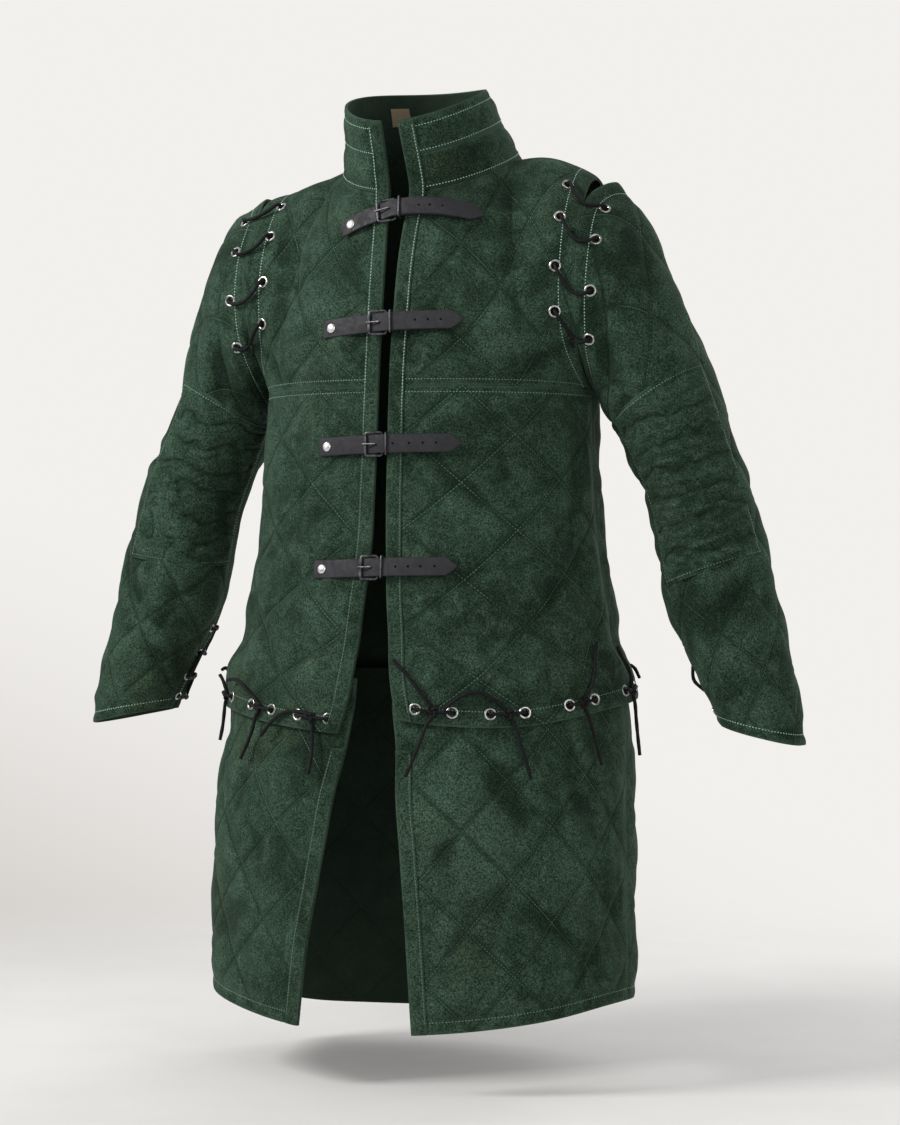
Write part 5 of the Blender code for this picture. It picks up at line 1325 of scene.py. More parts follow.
def armhole_eyelet(side, degrees, on_sleeve):
    word = "left" if side > 0 else "right"
    if on_sleeve:
        cloth = CLOTHS[f"sleeve_{word}"]
        turn = (degrees - SEAM_DEG) % 360
        column = np.array(turn / 18.0)
        a = int(round(turn / 360 * (len(cloth["us"]) - 1)))
        share = np.interp(EYELET_IN, cloth["edges"][2][a], cloth["vs"])
        return on_cloth(cloth["name"], column, np.array(share))
    v = 1 - abs(degrees) / 180
    if degrees > 0:
        cloth, name = CLOTHS[f"front_upper_{word}"], f"front_upper_{word}"
        b = int(np.argmin(np.abs(cloth["vs"] - v)))
        u = np.interp(EYELET_IN, cloth["edges"][1][::-1, b], cloth["us"][::-1])
        return on_cloth(name, np.array(u), np.array(v))
    cloth = CLOTHS["back"]
    b = int(np.argmin(np.abs(cloth["vs"] - v)))
    edge = 0 if side > 0 else 1
    away, us = cloth["edges"][edge][:, b], cloth["us"]
    u = np.interp(EYELET_IN, away, us) if edge == 0 else np.interp(EYELET_IN, away[::-1], us[::-1])
    return on_cloth("back", np.array(u), np.array(v))


for degrees in TIE_ANGLES:
    for turn in (-EYELET_APART, EYELET_APART):
        if abs(abs(degrees + turn) - 90) > 1.0:
            eyelet(*hem_eyelet(degrees + turn))
for side in (1, -1):
    for degrees in FRONT_EYELETS + BACK_EYELETS:
        eyelet(*armhole_eyelet(side, degrees, True))
        eyelet(*armhole_eyelet(side, degrees, False))
    word = "left" if side > 0 else "right"
    for share in CUFF_RUNGS:
        for column in (CUFF_COLUMN, 20 - CUFF_COLUMN):
            eyelet(*on_cloth(f"sleeve_{word}", column, share), SMALL_RIM)
eyelet_rims, eyelet_holes = joined("eyelet_rims", rims, 60), joined("eyelet_holes", hole_shades, 60)
for obj in (eyelet_rims, eyelet_holes):
    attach(obj, "root")
print("eyelets:", len(rims))

# %% [markdown]
# ## Thongs: hem ties, shoulder laces and cuff laces
# The coat is held together with black leather thong, about four millimetres thick. Each tie at
# the waist comes out of two eyelets, is knotted between them and leaves two free tails that
# have set into their own bends. At the shoulders a lace drops in a V from each eyelet of the
# body into the gap and up to the eyelet of the sleeve; between the Vs it runs inside, unseen.
# At the cuffs a lace lies on the cloth beside the slit and crosses it from eyelet to eyelet, and
# one run of the left cuff hangs slack. The ties and shoulder laces pass through the same places
# as the solids, read more finely.

# %% Ties along the hem
THONG = 0.0038
Tie = namedtuple("Tie", "angle a_along a_up a_bow b_along b_up b_bow press")
TIES = (
    Tie(17, -0.042, 0.056, 0.004, -0.022, -0.072, 0.004, 0.0004),
    Tie(37, -0.060, 0.004, 0.022, 0.027, -0.072, 0.006, 0.0002),
    Tie(61, 0.040, 0.066, 0.002, 0.022, -0.070, 0.004, 0.0007),
    Tie(88, -0.012, 0.048, 0.004, 0.012, -0.076, 0.004, 0.0006),
    Tie(125, -0.050, 0.006, 0.016, 0.012, -0.066, 0.004, 0.0004),
    Tie(155, 0.040, -0.012, 0.014, -0.012, -0.068, 0.004, 0.0004),
    Tie(-17, -0.072, -0.024, 0.016, 0.008, -0.063, 0.004, 0.0000),
    Tie(-37, -0.058, 0.028, 0.012, -0.020, -0.060, 0.004, 0.0004),
    Tie(-61, -0.014, 0.022, 0.004, -0.008, -0.054, 0.004, 0.0010),
    Tie(-88, 0.030, 0.020, 0.010, -0.010, -0.070, 0.004, 0.0006),
    Tie(-125, 0.048, 0.008, 0.018, -0.012, -0.064, 0.004, 0.0004),
    Tie(-155, -0.042, -0.006, 0.014, 0.012, -0.070, 0.004, 0.0004),
)


def waist_place(angle, z, stand_off):
    """A place off the cloth at the waist: over the body above its hem, over the skirt below."""
    outward = unit(np.array([math.sin(angle) / 1.4, -math.cos(angle), 0]))
    hem = float(body_hem_z(angle))
    body = on_ring(TORSO_RINGS, angle, max(z, hem))
    body = body + outward * PUFF * float(ease((z - hem - TIE_ABOVE_HEM - 0.003) / 0.020))
    low = min(z, hem - 0.001)
    under = on_ring(SKIRT_RINGS, angle, low) + outward * (PUFF + 0.003)
    under[0] += SKIRT_LEAN * float(ease((-0.660 - low) / 0.100))
    reach = body if z > hem or np.dot(body - under, outward) > 0 else under
    place = reach + outward * (THONG / 2 + CLEAR + stand_off)
    return np.array([place[0], place[1], z])


def curve_through(points, spacing=0.0028, first=0.0, last=None):
    """Places every spacing along a smooth curve, between two distances along its chords."""
    points = np.array(points)
    knots = walk(points)
    table = tuple(map(tuple, np.column_stack([knots, points])))
    last = knots[-1] if last is None else last
    stops = np.linspace(first, last, max(int(abs(last - first) / spacing), 6) + 1)
    return np.stack(smooth(table, stops), axis=-1)


THICK = 0.0043                   # a soft thong swells a little where nothing grips it


def thong_mesh(name, path, seed, thickness=THICK):
    """A soft round thong, a little uneven in thickness, with cut ends."""
    random = np.random.RandomState(seed)
    along = unit(np.gradient(path, axis=0))
    side = unit(np.cross(along[0], [0.3, 1.0, 0.2]))
    sides, rings = 9, []
    for k, (point, direction) in enumerate(zip(path, along)):
        side = unit(side - direction * (side @ direction))
        other = np.cross(direction, side)
        radius = thickness / 2 * (1 + 0.05 * math.sin(0.9 * k + seed) + 0.02 * random.normal())
        turns = 2 * PI * np.arange(sides) / sides
        rings.append(point + (side * np.cos(turns)[:, None] + other * np.sin(turns)[:, None] * 0.96) * radius)
    return make_mesh(name, np.concatenate(rings), tube_faces(sides, len(rings)), 50)


def lay_thong(name, path, seed, node):
    obj = show(thong_mesh(name, path, seed), node)
    length = float(np.linalg.norm(np.diff(path, axis=0), axis=1).sum())
    THONGS.append((name, length))
    return obj


def knot_mesh(name, centre, out, eyes):
    """A small knot, a threefold loop drawn tight, with a short run to each of its eyelets."""
    across = unit(np.cross([0, 0, 1.0], out))
    up = np.cross(out, across)
    t = np.linspace(0, 2 * PI, 37)[:-1]
    loop = (across * (np.sin(t) + 2 * np.sin(2 * t))[:, None] + up * (np.cos(t) - 2 * np.cos(2 * t))[:, None]
            - out * (0.9 * np.sin(3 * t))[:, None])
    parts = [wire(centre + out * 0.0016 + loop * 0.00185, 0.0018, True, 8, 1.0, out)]
    for eye, facing in eyes:
        middle = (centre + eye) / 2
        run = curve_through([centre + out * 0.0012, middle + out * 0.0030, eye + facing * 0.0022,
                             eye - facing * 0.0012], 0.002)
        parts.append(wire(run, THONG / 2, False, 9, 1.0, out))
    return joined(name, parts, 60)


THONGS = []
for number, tie in enumerate(TIES, 1):
    angle = math.radians(tie.angle)
    knot_z = float(body_hem_z(angle)) + TIE_ABOVE_HEM
    radius = 0.235 if abs(math.sin(angle)) < 0.5 else 0.20

    def tail(along, up, bow):
        return [waist_place(angle + along * share / radius,
                            knot_z + up * share + bow * math.sin(PI * share), 0.004 * share**2)
                for share in (0.25, 0.5, 0.75, 1.0)]

    knot = waist_place(angle, knot_z, -CLEAR - tie.press)
    first = tail(tie.a_along, tie.a_up, tie.a_bow)[::-1]
    places = first + [knot] + tail(tie.b_along, tie.b_up, tie.b_bow)
    chords = walk(np.array(places))
    at_knot = chords[len(first)]
    out = unit(np.array([math.sin(angle) / 1.4, -math.cos(angle), 0]))
    eyes = [hem_eyelet(tie.angle + turn) for turn in (-EYELET_APART, EYELET_APART)
            if abs(abs(tie.angle + turn) - 90) > 1.0]
    bundle = knot_mesh(f"tie_knot_{number:02d}", knot, out, eyes)
    show(bundle)
    lay_thong(f"tie_tail_{number:02d}_a", curve_through(places, first=at_knot + 0.004, last=0.0), number,
              f"tie_{number:02d}")
    lay_thong(f"tie_tail_{number:02d}_b", curve_through(places, first=at_knot - 0.004), number + 40,
              f"tie_{number:02d}")
print("tie tails from", round(min(length for _, length in THONGS) * 1000), "to",
      round(max(length for _, length in THONGS) * 1000), "mm")

# %% Laces at the shoulders and the cuffs
def sleeve_facing(side, angle, share):
    across = sleeve(side, angle + 0.05, share) - sleeve(side, angle - 0.05, share)
    along = sleeve(side, angle, min(share + 0.015, 1)) - sleeve(side, angle, max(share - 0.015, 0))
    return unit(np.cross(across, along)) * side


def back_facing(u, v):
    v = min(v, 0.97)
    place = lambda u, v: back(np.array(u), np.array(v))
    across = place(min(u + 0.02, 1.0), v) - place(max(u - 0.02, 0.0), v)
    along = place(u, min(v + 0.02, 1.0)) - place(u, max(v - 0.02, -1.0))
    return unit(np.cross(across, along))


def shoulder_place(side, degrees, out, extra=0.0):
    """Off the cloth round an armhole: out is along the sleeve, or on the body if negative."""
    angle = math.radians(degrees)
    lift = THONG / 2 + 0.0008 + abs(out) * 0.19 + extra
    if out >= 0:
        span = np.linalg.norm(sleeve(side, angle, 0.05) - sleeve(side, angle, 0.0)) / 0.05
        share = out / span
        return sleeve(side, angle, share) + sleeve_facing(side, angle, max(share, 0.01)) * lift
    v = 1 - abs(degrees) / 180
    if degrees >= 0:
        width = np.linalg.norm(front(side, 1.0, v) - front(side, 0.95, v)) / 0.05
        u = 1 + out / width
        return front(side, u, v) + front_facing(side, u, v) * lift
    place = lambda u: back(np.array(u), np.array(v))
    width = np.linalg.norm(place(0.0) - place(0.03)) / 0.03
    u = -out / width if side > 0 else 1 + out / width
    return place(u) + back_facing(u, v) * lift


LACE_LIFT = 0.0024                # from the cloth to the middle of a cuff lace
LACE_END = -0.001                 # and of its two ends, which go down into their eyelets
LOOSE_LOOP = 0.0065               # how much further the slack run of the left cuff stands off
CUFF_TURN = 0.0075                # radius of its turns over the eyelets


def rounded(places, corners, radius):
    """The same places with an arc over each corner instead of a sharp turn."""
    route = []
    for k, place in enumerate(places):
        if k in corners:
            into, onward = unit(place - places[k - 1]), unit(places[k + 1] - place)
            corner = place + (into - onward) * radius * 0.3
            route += [corner - into * radius, place, corner + onward * radius]
        else:
            route.append(place)
    return route


def shoulder_v(side, degrees):
    """From the eyelet of the body into the gap and up to the eyelet of the sleeve."""
    raised = 0.0014 * float(ease((degrees - 95) / 20))
    body, body_out = armhole_eyelet(side, degrees, False)
    head, head_out = armhole_eyelet(side, degrees, True)
    dips = [shoulder_place(side, degrees + math.copysign(10 * math.sin(PI * share), degrees),
                           blend(-EYELET_IN, EYELET_IN, share), raised) for share in (0.25, 0.5, 0.75)]
    return ([body - body_out * 0.0010, body + body_out * 0.0028] + dips
            + [head + head_out * 0.0028, head - head_out * 0.0010])


for side, word in WORDS.items():
    node = f"shoulder_lace_{word}"
    for degrees in FRONT_EYELETS + BACK_EYELETS:
        places, lay, far_end, arms = shoulder_v(side, degrees), "taut", "object", []
        name = f"shoulder_lace_{word}_{'front' if degrees > 0 else 'back'}_{abs(degrees)}"
        if degrees in (FRONT_EYELETS[0], BACK_EYELETS[-1]):
            arm = joined(name + "_arm", [wire(curve_through(places[:4], 0.002), THICK / 2, False, 9)], 60)
            arms = [show(arm)]
            ends = ((133, -0.0115), (138, -0.008)) if degrees > 0 else ((-113, -0.008), (-122, -0.004))
            places = places[:2:-1] + [
                shoulder_place(side, d, out, 0.0014 * float(ease((d - 95) / 20))) for d, out in ends]
            lay, far_end = "loose", "bare"
        path = curve_through(places, 0.0025)
        lay_thong(name, path, abs(degrees) + side, node)
    places, eyes = [], []
    for k, share in enumerate(CUFF_RUNGS):
        columns = (20 - CUFF_COLUMN, CUFF_COLUMN) if k % 2 == 0 else (CUFF_COLUMN, 20 - CUFF_COLUMN)
        for column in columns:
            is_end = (k, column) in ((0, columns[0]), (len(CUFF_RUNGS) - 1, columns[1]))
            eyes.append(len(places))
            places.append(on_cloth(f"sleeve_{word}", column, share, LACE_END if is_end else LACE_LIFT)[0])
            if column == columns[0]:
                angle = math.radians(SEAM_DEG)
                places.append(sleeve(side, angle, share) + sleeve_facing(side, angle, share) * LACE_LIFT)
        if k + 1 < len(CUFF_RUNGS):
            slack = LOOSE_LOOP if (side, k) == (1, 1) else 0.0
            halfway = blend(share, CUFF_RUNGS[k + 1], 0.5)
            places.append(on_cloth(f"sleeve_{word}", columns[1], halfway, LACE_LIFT + slack)[0])
    path = curve_through(rounded(places, eyes[1:-1], CUFF_TURN))
    lay_thong(f"cuff_lace_{word}_thong", path, 90 + side, f"cuff_lace_{word}")
print(len(THONGS), "thongs,", round(sum(length for _, length in THONGS), 2), "m in all")

# %% [markdown]
# ## Suede
# Suede is the split underside of a hide. Its nap lies this way and that, so it is never one
# green: cloudy patches a hand wide, smaller blotches, and a fibrous grain of a millimetre or so.
# It rubs lighter along edges. The tops of the diamonds and the ridges of folds are painted paler, partly for
# wear and partly as a painted highlight, and the stitched grooves, the troughs of creases and the channels of
# the arm patches get a painted shade. Listed spots on the front are painted paler for wear and a painted
# highlight, or darker for dirt and painted shade. A few areas have yellowed. All of this is made from noise
# at those four sizes, and from the maps that each panel carries. The nap's soft glow towards the rim is
# sheen.

# %% A small kit for materials
def new_material(name, roughness, metallic=0.0, specular=0.5, sheen=0.0, sheen_roughness=0.5, coat=0.0):
    material = bpy.data.materials.new(name)
    material.use_nodes = True
    shader = material.node_tree.nodes["Principled BSDF"]
    shader.inputs["Roughness"].default_value = roughness
    shader.inputs["Metallic"].default_value = metallic
    shader.inputs["Specular IOR Level"].default_value = specular
    shader.inputs["Sheen Weight"].default_value = sheen
    shader.inputs["Sheen Roughness"].default_value = sheen_roughness
    shader.inputs["Coat Weight"].default_value = coat
    return material


class Kit:
    """Short ways to add the few nodes that the finishes are made of."""

    def __init__(self, material):
        self.tree = material.node_tree
        self.shader = self.tree.nodes["Principled BSDF"]
        self.place = self.node("ShaderNodeTexCoord").outputs["Object"]

    def node(self, kind, **settings):
        node = self.tree.nodes.new(kind)
        for key, value in settings.items():
            setattr(node, key, value)
        return node

    def feed(self, socket, value):
        if isinstance(value, bpy.types.NodeSocket):
            self.tree.links.new(value, socket)
        else:
            socket.default_value = value

    def set(self, name, value):
        self.feed(self.shader.inputs[name], value)

    def noise(self, scale, detail=3.0, rough=0.55, distortion=0.0, stretch=None):
        node = self.node("ShaderNodeTexNoise")
        place = self.place
        if stretch is not None:
            mapping = self.node("ShaderNodeMapping")
            self.feed(mapping.inputs["Vector"], place)
            mapping.inputs["Scale"].default_value = stretch
            place = mapping.outputs["Vector"]
        self.feed(node.inputs["Vector"], place)
        settings = {"Scale": scale, "Detail": detail, "Roughness": rough, "Distortion": distortion}
        for key, value in settings.items():
            node.inputs[key].default_value = value
        return node.outputs["Fac"]

    def attribute(self, name):
        return self.node("ShaderNodeAttribute", attribute_name=name).outputs["Fac"]

    def math(self, operation, a, b=0.0):
        node = self.node("ShaderNodeMath", operation=operation)
        self.feed(node.inputs[0], a)
        self.feed(node.inputs[1], b)
        return node.outputs[0]

    def between(self, value, low, high, to_low=0.0, to_high=1.0):
        """Reads a value between two limits as a smooth step between two others."""
        node = self.node("ShaderNodeMapRange", interpolation_type="SMOOTHSTEP")
        for socket, setting in zip(node.inputs[:5], (value, low, high, to_low, to_high)):
            self.feed(socket, setting)
        return node.outputs["Result"]

    def mix(self, share, a, b, blend_type="MIX"):
        node = self.node("ShaderNodeMix", data_type="RGBA", blend_type=blend_type)
        self.feed(node.inputs["Factor"], share)
        self.feed(node.inputs[6], a)
        self.feed(node.inputs[7], b)
        return node.outputs[2]

    def bump(self, height, strength, distance, under=None):
        node = self.node("ShaderNodeBump")
        node.inputs["Strength"].default_value = strength
        node.inputs["Distance"].default_value = distance
        self.feed(node.inputs["Height"], height)
        if under is not None:
            self.feed(node.inputs["Normal"], under)
        return node.outputs["Normal"]


def colour(red, green, blue):
    return (red, green, blue, 1.0)


# %% The suede of the panels
# The deep green serves the darker nap and painted shade; the pale green serves worn nap and painted
# highlights.
GREEN_DEEP, GREEN = colour(0.0070, 0.0155, 0.0090), colour(0.0190, 0.0375, 0.0235)
GREEN_WORN_AND_LIT = colour(0.0420, 0.0740, 0.0490)
YELLOWED, LINING = colour(0.0340, 0.0480, 0.0220), colour(0.0290, 0.0440, 0.0310)
DIAMOND = 0.076                  # between neighbouring quilting lines
QUILT_STITCH = 0.0038            # from one stitch of a quilting line to the next


def suede_colour(kit):
    clouds = kit.between(kit.noise(11.0, 5.0, 0.62, 0.5), 0.28, 0.66)
    blotches = kit.between(kit.noise(42.0, 5.0, 0.70, 0.5), 0.40, 0.66)
    nap = kit.noise(520.0, 3.0, 0.65)
    fibres = kit.noise(1300.0, 2.0, 0.7)
    green = kit.mix(clouds, GREEN_DEEP, GREEN)
    green = kit.mix(kit.math("MULTIPLY", blotches, 0.50), green, GREEN_WORN_AND_LIT)
    # Listed spots on the front: paler for wear and a painted highlight, darker for dirt and painted shade.
    rubbed = kit.attribute("rubbed")
    green = kit.mix(kit.between(rubbed, 0.0, 1.0, 0.0, 0.60), green, GREEN_WORN_AND_LIT)
    green = kit.mix(kit.between(rubbed, -1.0, 0.0, 0.75, 0.0), green, GREEN_DEEP)
    # Painted highlight, with some wear, on the ridges of folds and creases; painted shade in their troughs.
    fold = kit.attribute("fold")
    green = kit.mix(kit.between(fold, 0.3, 2.2, 0.0, 0.45), green, GREEN_WORN_AND_LIT)
    green = kit.mix(kit.between(fold, -2.6, -0.3, 0.80, 0.0), green, GREEN_DEEP)
    yellow = kit.between(kit.noise(5.0, 3.0, 0.5, 0.9), 0.52, 0.74)
    green = kit.mix(kit.math("MULTIPLY", yellow, 0.35), green, YELLOWED)
    speck = kit.between(nap, 0.32, 0.68, 0.38, 1.75)
    speck = kit.math("MULTIPLY", speck, kit.between(fibres, 0.30, 0.70, 0.30, 1.90))
    brightness = kit.node("ShaderNodeVectorMath", operation="SCALE")
    kit.feed(brightness.inputs[0], green)
    kit.feed(brightness.inputs["Scale"], speck)
    return brightness.outputs[0], nap, fibres, clouds


def suede(name, quilted, channelled=False):
    material = new_material(name, 0.96, specular=0.08, sheen=0.10, sheen_roughness=0.45)
    kit = Kit(material)
    kit.shader.inputs["Sheen Tint"].default_value = colour(0.55, 0.80, 0.62)
    green, nap, fibres, clouds = suede_colour(kit)
    edge, inside = kit.attribute("edge"), kit.attribute("inside")
    # Paler along the panel's edges, where the nap wears.
    tone_by_place = kit.math("MULTIPLY", kit.between(edge, 0.0005, 0.0035, 1.0, 0.0),
                    kit.between(clouds, 0.2, 0.9, 0.25, 0.7))
    green = kit.mix(tone_by_place, green, GREEN_WORN_AND_LIT)
    relief = kit.math("ADD", kit.math("MULTIPLY", nap, 0.6), kit.math("MULTIPLY", fibres, 0.4))
    normal = kit.bump(relief, 0.70, 0.0011)
    if quilted:
        level = kit.attribute("level")
        # Tops of the diamonds paler: wear, and a painted highlight where the padding stands up.
        wear_and_light = kit.math("MULTIPLY", kit.between(level, 0.35, 1.0),
                       kit.between(kit.noise(20.0, 3.0), 0.45, 0.75, 0.0, 0.30))
        green = kit.mix(wear_and_light, green, GREEN_WORN_AND_LIT)
        lines = kit.node("ShaderNodeUVMap", uv_map="quilting").outputs["UV"]
        axes = kit.node("ShaderNodeSeparateXYZ")
        kit.feed(axes.inputs[0], lines)
        shares = [kit.math("FRACT", kit.math("ADD", axes.outputs[k], 0.5)) for k in (0, 1)]
        away = [kit.math("ABSOLUTE", kit.math("SUBTRACT", share, 0.5)) for share in shares]
        waves = [kit.math("SINE", kit.math("MULTIPLY", axes.outputs[1 - k], 2 * PI * DIAMOND / QUILT_STITCH))
                 for k in (0, 1)]
        dashes = [kit.between(wave, -0.6, 0.0) for wave in waves]
        nearest = kit.math("MINIMUM", away[0], away[1])
        # Painted shade along the quilting grooves.
        groove_shade = kit.between(nearest, 0.006, 0.065, 0.55, 0.0)
        green = kit.mix(groove_shade, green, GREEN_DEEP)
        threads = kit.math("MAXIMUM", *[
            kit.math("MULTIPLY", kit.between(away[k], 0.004, 0.008, 1.0, 0.0), dashes[k]) for k in (0, 1)])
        seen = kit.between(kit.noise(16.0, 2.0), 0.38, 0.62, 0.10, 0.85)
        green = kit.mix(kit.math("MULTIPLY", threads, seen), green, colour(0.090, 0.160, 0.110))
        normal = kit.bump(kit.between(nearest, 0.0, 0.016), 0.6, 0.0012, normal)
    if channelled:
        level = kit.attribute("level")
        # Painted shade in the channels between the rolls of padding.
        green = kit.mix(kit.between(level, 0.02, 0.30, 0.55, 0.0), green, GREEN_DEEP)
        normal = kit.bump(kit.between(level, 0.0, 0.10), 0.7, 0.0012, normal)
    green = kit.mix(kit.math("MULTIPLY", inside, 0.80), green, LINING)
    kit.set("Base Color", green)
    kit.set("Normal", normal)
    return material


SUEDE, EDGE_SUEDE = suede("green_suede", True), suede("edge_suede_folded", False)
PATCH_SUEDE = suede("patch_suede", False, True)
for name, cloth in CLOTHS.items():
    if name.startswith(("front_", "back", "skirt_front", "skirt_back", "sleeve")):
        cloth["obj"].data.materials.append(SUEDE)
    elif name.startswith(("edge_strip", "skirt_strip", "collar")):
        cloth["obj"].data.materials.append(EDGE_SUEDE)
    elif name.startswith("arm_patch"):
        cloth["obj"].data.materials.append(PATCH_SUEDE)
print("suede on", sum(1 for cloth in CLOTHS.values() if cloth["obj"].data.materials), "pieces")

# %% [markdown]
# ## Leather, thread, metal and the label
# Strap leather is a close black-brown grain with a dull polish; it wears paler where it has been bent and
# along its cut edges, drawn here as scattered paler patches. The thong is the same hide, softer and duller.
# The thread is a pale waxed green. The buckles are darkened steel, the rivets and eyelets nickel, dulled by
# handling.

# %% Leather, thread, metal and label materials
def leather(name, dark, pale, roughness, grain, relief, specular):
    material = new_material(name, roughness, specular=specular)
    kit = Kit(material)
    pores = kit.node("ShaderNodeTexVoronoi", feature="DISTANCE_TO_EDGE")
    kit.feed(pores.inputs["Vector"], kit.place)
    pores.inputs["Scale"].default_value = grain
    cells = kit.between(pores.outputs["Distance"], 0.0, 0.12)
    wear = kit.between(kit.noise(60.0, 5.0, 0.65), 0.42, 0.72)
    shade = kit.mix(kit.math("MULTIPLY", wear, 0.65), dark, pale)
    shade = kit.mix(kit.math("SUBTRACT", 1.0, cells), shade, colour(0.008, 0.008, 0.009))
    kit.set("Base Color", shade)
    kit.set("Roughness", kit.between(kit.noise(140.0, 3.0), 0.3, 0.7, roughness - 0.10, roughness + 0.14))
    fine_grain = kit.bump(kit.noise(grain * 2.2, 4.0, 0.6), 0.25, relief)
    kit.set("Normal", kit.bump(cells, 0.35, relief, fine_grain))
    return material


def metal(name, bright, dull, roughness):
    material = new_material(name, roughness, metallic=1.0)
    kit = Kit(material)
    tarnish = kit.between(kit.noise(170.0, 4.0, 0.6), 0.40, 0.70)
    kit.set("Base Color", kit.mix(tarnish, bright, dull))
    kit.set("Roughness", kit.between(kit.noise(420.0, 3.0), 0.3, 0.7, roughness - 0.07, roughness + 0.16))
    kit.set("Normal", kit.bump(kit.noise(900.0, 2.0), 0.10, 0.0003))
    return material


def thread(name, base, dark, pale_above=None):
    material = new_material(name, 0.62, specular=0.35, sheen=0.15)
    kit = Kit(material)
    twist = kit.between(kit.noise(1500.0, 2.0, 0.5, 0.0, (1.0, 1.0, 2.6)), 0.35, 0.65)
    soiled = kit.between(kit.noise(22.0, 3.0, 0.6), 0.40, 0.70)
    shade = kit.mix(kit.math("MULTIPLY", soiled, 0.55), base, dark)
    if pale_above is not None:
        # Darker towards the bottom, below a given height.
        axes = kit.node("ShaderNodeSeparateXYZ")
        kit.feed(axes.inputs[0], kit.place)
        tone_by_place = kit.between(axes.outputs["Z"], pale_above - 0.06, pale_above, 0.85, 0.0)
        shade = kit.mix(tone_by_place, shade, dark)
    kit.set("Base Color", kit.mix(kit.math("MULTIPLY", twist, 0.4), shade, dark))
    kit.set("Normal", kit.bump(twist, 0.3, 0.0003))
    return material


def woven(name, warp, weft):
    material = new_material(name, 0.85, specular=0.2, sheen=0.1)
    kit = Kit(material)
    waves = []
    for direction in ("X", "Z"):
        wave = kit.node("ShaderNodeTexWave", bands_direction=direction)
        kit.feed(wave.inputs["Vector"], kit.place)
        wave.inputs["Scale"].default_value = 420.0
        wave.inputs["Distortion"].default_value = 0.6
        waves.append(wave.outputs["Fac"])
    weave = kit.math("MULTIPLY", *waves)
    faded = kit.between(kit.noise(70.0, 3.0), 0.35, 0.7)
    shade = kit.mix(weave, warp, weft)
    kit.set("Base Color", kit.mix(kit.math("MULTIPLY", faded, 0.35), shade, warp))
    kit.set("Normal", kit.bump(weave, 0.5, 0.0004))
    return material


# A near-black finish for the discs in eyelets and punched holes: the painted shade inside a hole.
def hole_shade_material(name):
    material = new_material(name, 0.95, specular=0.05)
    kit = Kit(material)
    kit.set("Base Color",
             kit.mix(kit.between(kit.noise(500.0, 2.0), 0.4, 0.7),
                     colour(0.003, 0.003, 0.003), colour(0.012, 0.010, 0.008)))
    return material


STRAP_LEATHER = leather("strap_hide", colour(0.0130, 0.0120, 0.0150), colour(0.0280, 0.0255, 0.0310),
                        0.55, 900.0, 0.0003, 0.34)
THONG_LEATHER = leather("thong_hide", colour(0.0050, 0.0048, 0.0052), colour(0.0120, 0.0112, 0.0120),
                        0.62, 1300.0, 0.0002, 0.16)
STEEL = metal("darkened_steel", colour(0.13, 0.13, 0.14), colour(0.045, 0.044, 0.045), 0.34)
NICKEL = metal("dulled_nickel", colour(0.60, 0.59, 0.57), colour(0.20, 0.18, 0.155), 0.24)
RIVET_NICKEL = metal("rubbed_nickel", colour(0.92, 0.91, 0.89), colour(0.60, 0.58, 0.55), 0.30)
# One pale green thread in three copies: plain; darker below the chest on the front edges; and darker on the
# body seams and hems, the skirt, the sleeve seams and the arm patches.
THREAD = thread("pale_thread", colour(0.42, 0.62, 0.50), colour(0.16, 0.26, 0.20))
EDGE_THREAD = thread("edge_thread", colour(0.36, 0.54, 0.43), colour(0.050, 0.085, 0.062), -0.27)
DIM_THREAD = thread("worn_thread", colour(0.17, 0.28, 0.21), colour(0.055, 0.095, 0.068))
LABEL_CLOTH = woven("label_weave", colour(0.30, 0.22, 0.14), colour(0.42, 0.34, 0.22))
HOLE_SHADE = hole_shade_material("dark_hole")
for obj in bpy.context.scene.objects:
    if obj.type != "MESH" or obj.data.materials:
        continue
    for words, material in (
        (("strap_holes", "eyelet_holes"), HOLE_SHADE), (("eyelet_rims",), NICKEL), (("rivet_cap",), RIVET_NICKEL),
        (("buckle_", "strap_keeper"), STEEL), (("stitches_front_edge",), EDGE_THREAD),
        (("stitches_front", "stitches_skirt", "stitches_arm_patch", "stitches_sleeve_seam"),
         DIM_THREAD), (("stitches_",), THREAD), (("gambeson_label",), LABEL_CLOTH),
        (("gambeson_strap", "gambeson_chape"), STRAP_LEATHER),
        (("tie_tail", "tie_knot", "shoulder_lace", "cuff_lace"), THONG_LEATHER),
    ):
        if obj.name.startswith(words):
            obj.data.materials.append(material)
            break
print("materials:", len([m for m in bpy.data.materials if m.users]))

# %% [markdown]
# ## What each sheet was cut from
# A cutter wants the flat size of every piece. The panels are measured here along their own
# threads: the widest run across and the longest run down, and the area of the form between.

# %% Flat sizes
HELD = (
    ("front_upper_left", "hung", ("back",)), ("front_upper_right", "hung", ("back",)),
    ("front_lower_left", "hung", ("front_upper_left",)),
    ("front_lower_right", "hung", ("front_upper_right",)),
    ("back", "hung", ()), ("collar_lower", "stretched", ("back",)),
    ("collar_upper", "stretched", ("collar_lower",)),
    ("skirt_front_left", "hung", ("front_lower_left",)),
    ("skirt_front_right", "hung", ("front_lower_right",)),
    ("skirt_back", "hung", ("back",)), ("sleeve_left", "hung", ("front_upper_left",)),
    ("sleeve_right", "hung", ("front_upper_right",)), ("arm_patch_left", "laid", ("sleeve_left",)),
    ("arm_patch_right", "laid", ("sleeve_right",)), ("edge_strip_left", "folded", ("front_lower_left",)),
    ("edge_strip_right", "folded", ("front_lower_right",)),
    ("skirt_strip_left", "folded", ("skirt_front_left",)),
    ("skirt_strip_right", "folded", ("skirt_front_right",)), ("label", "laid", ("collar_upper",)),
)


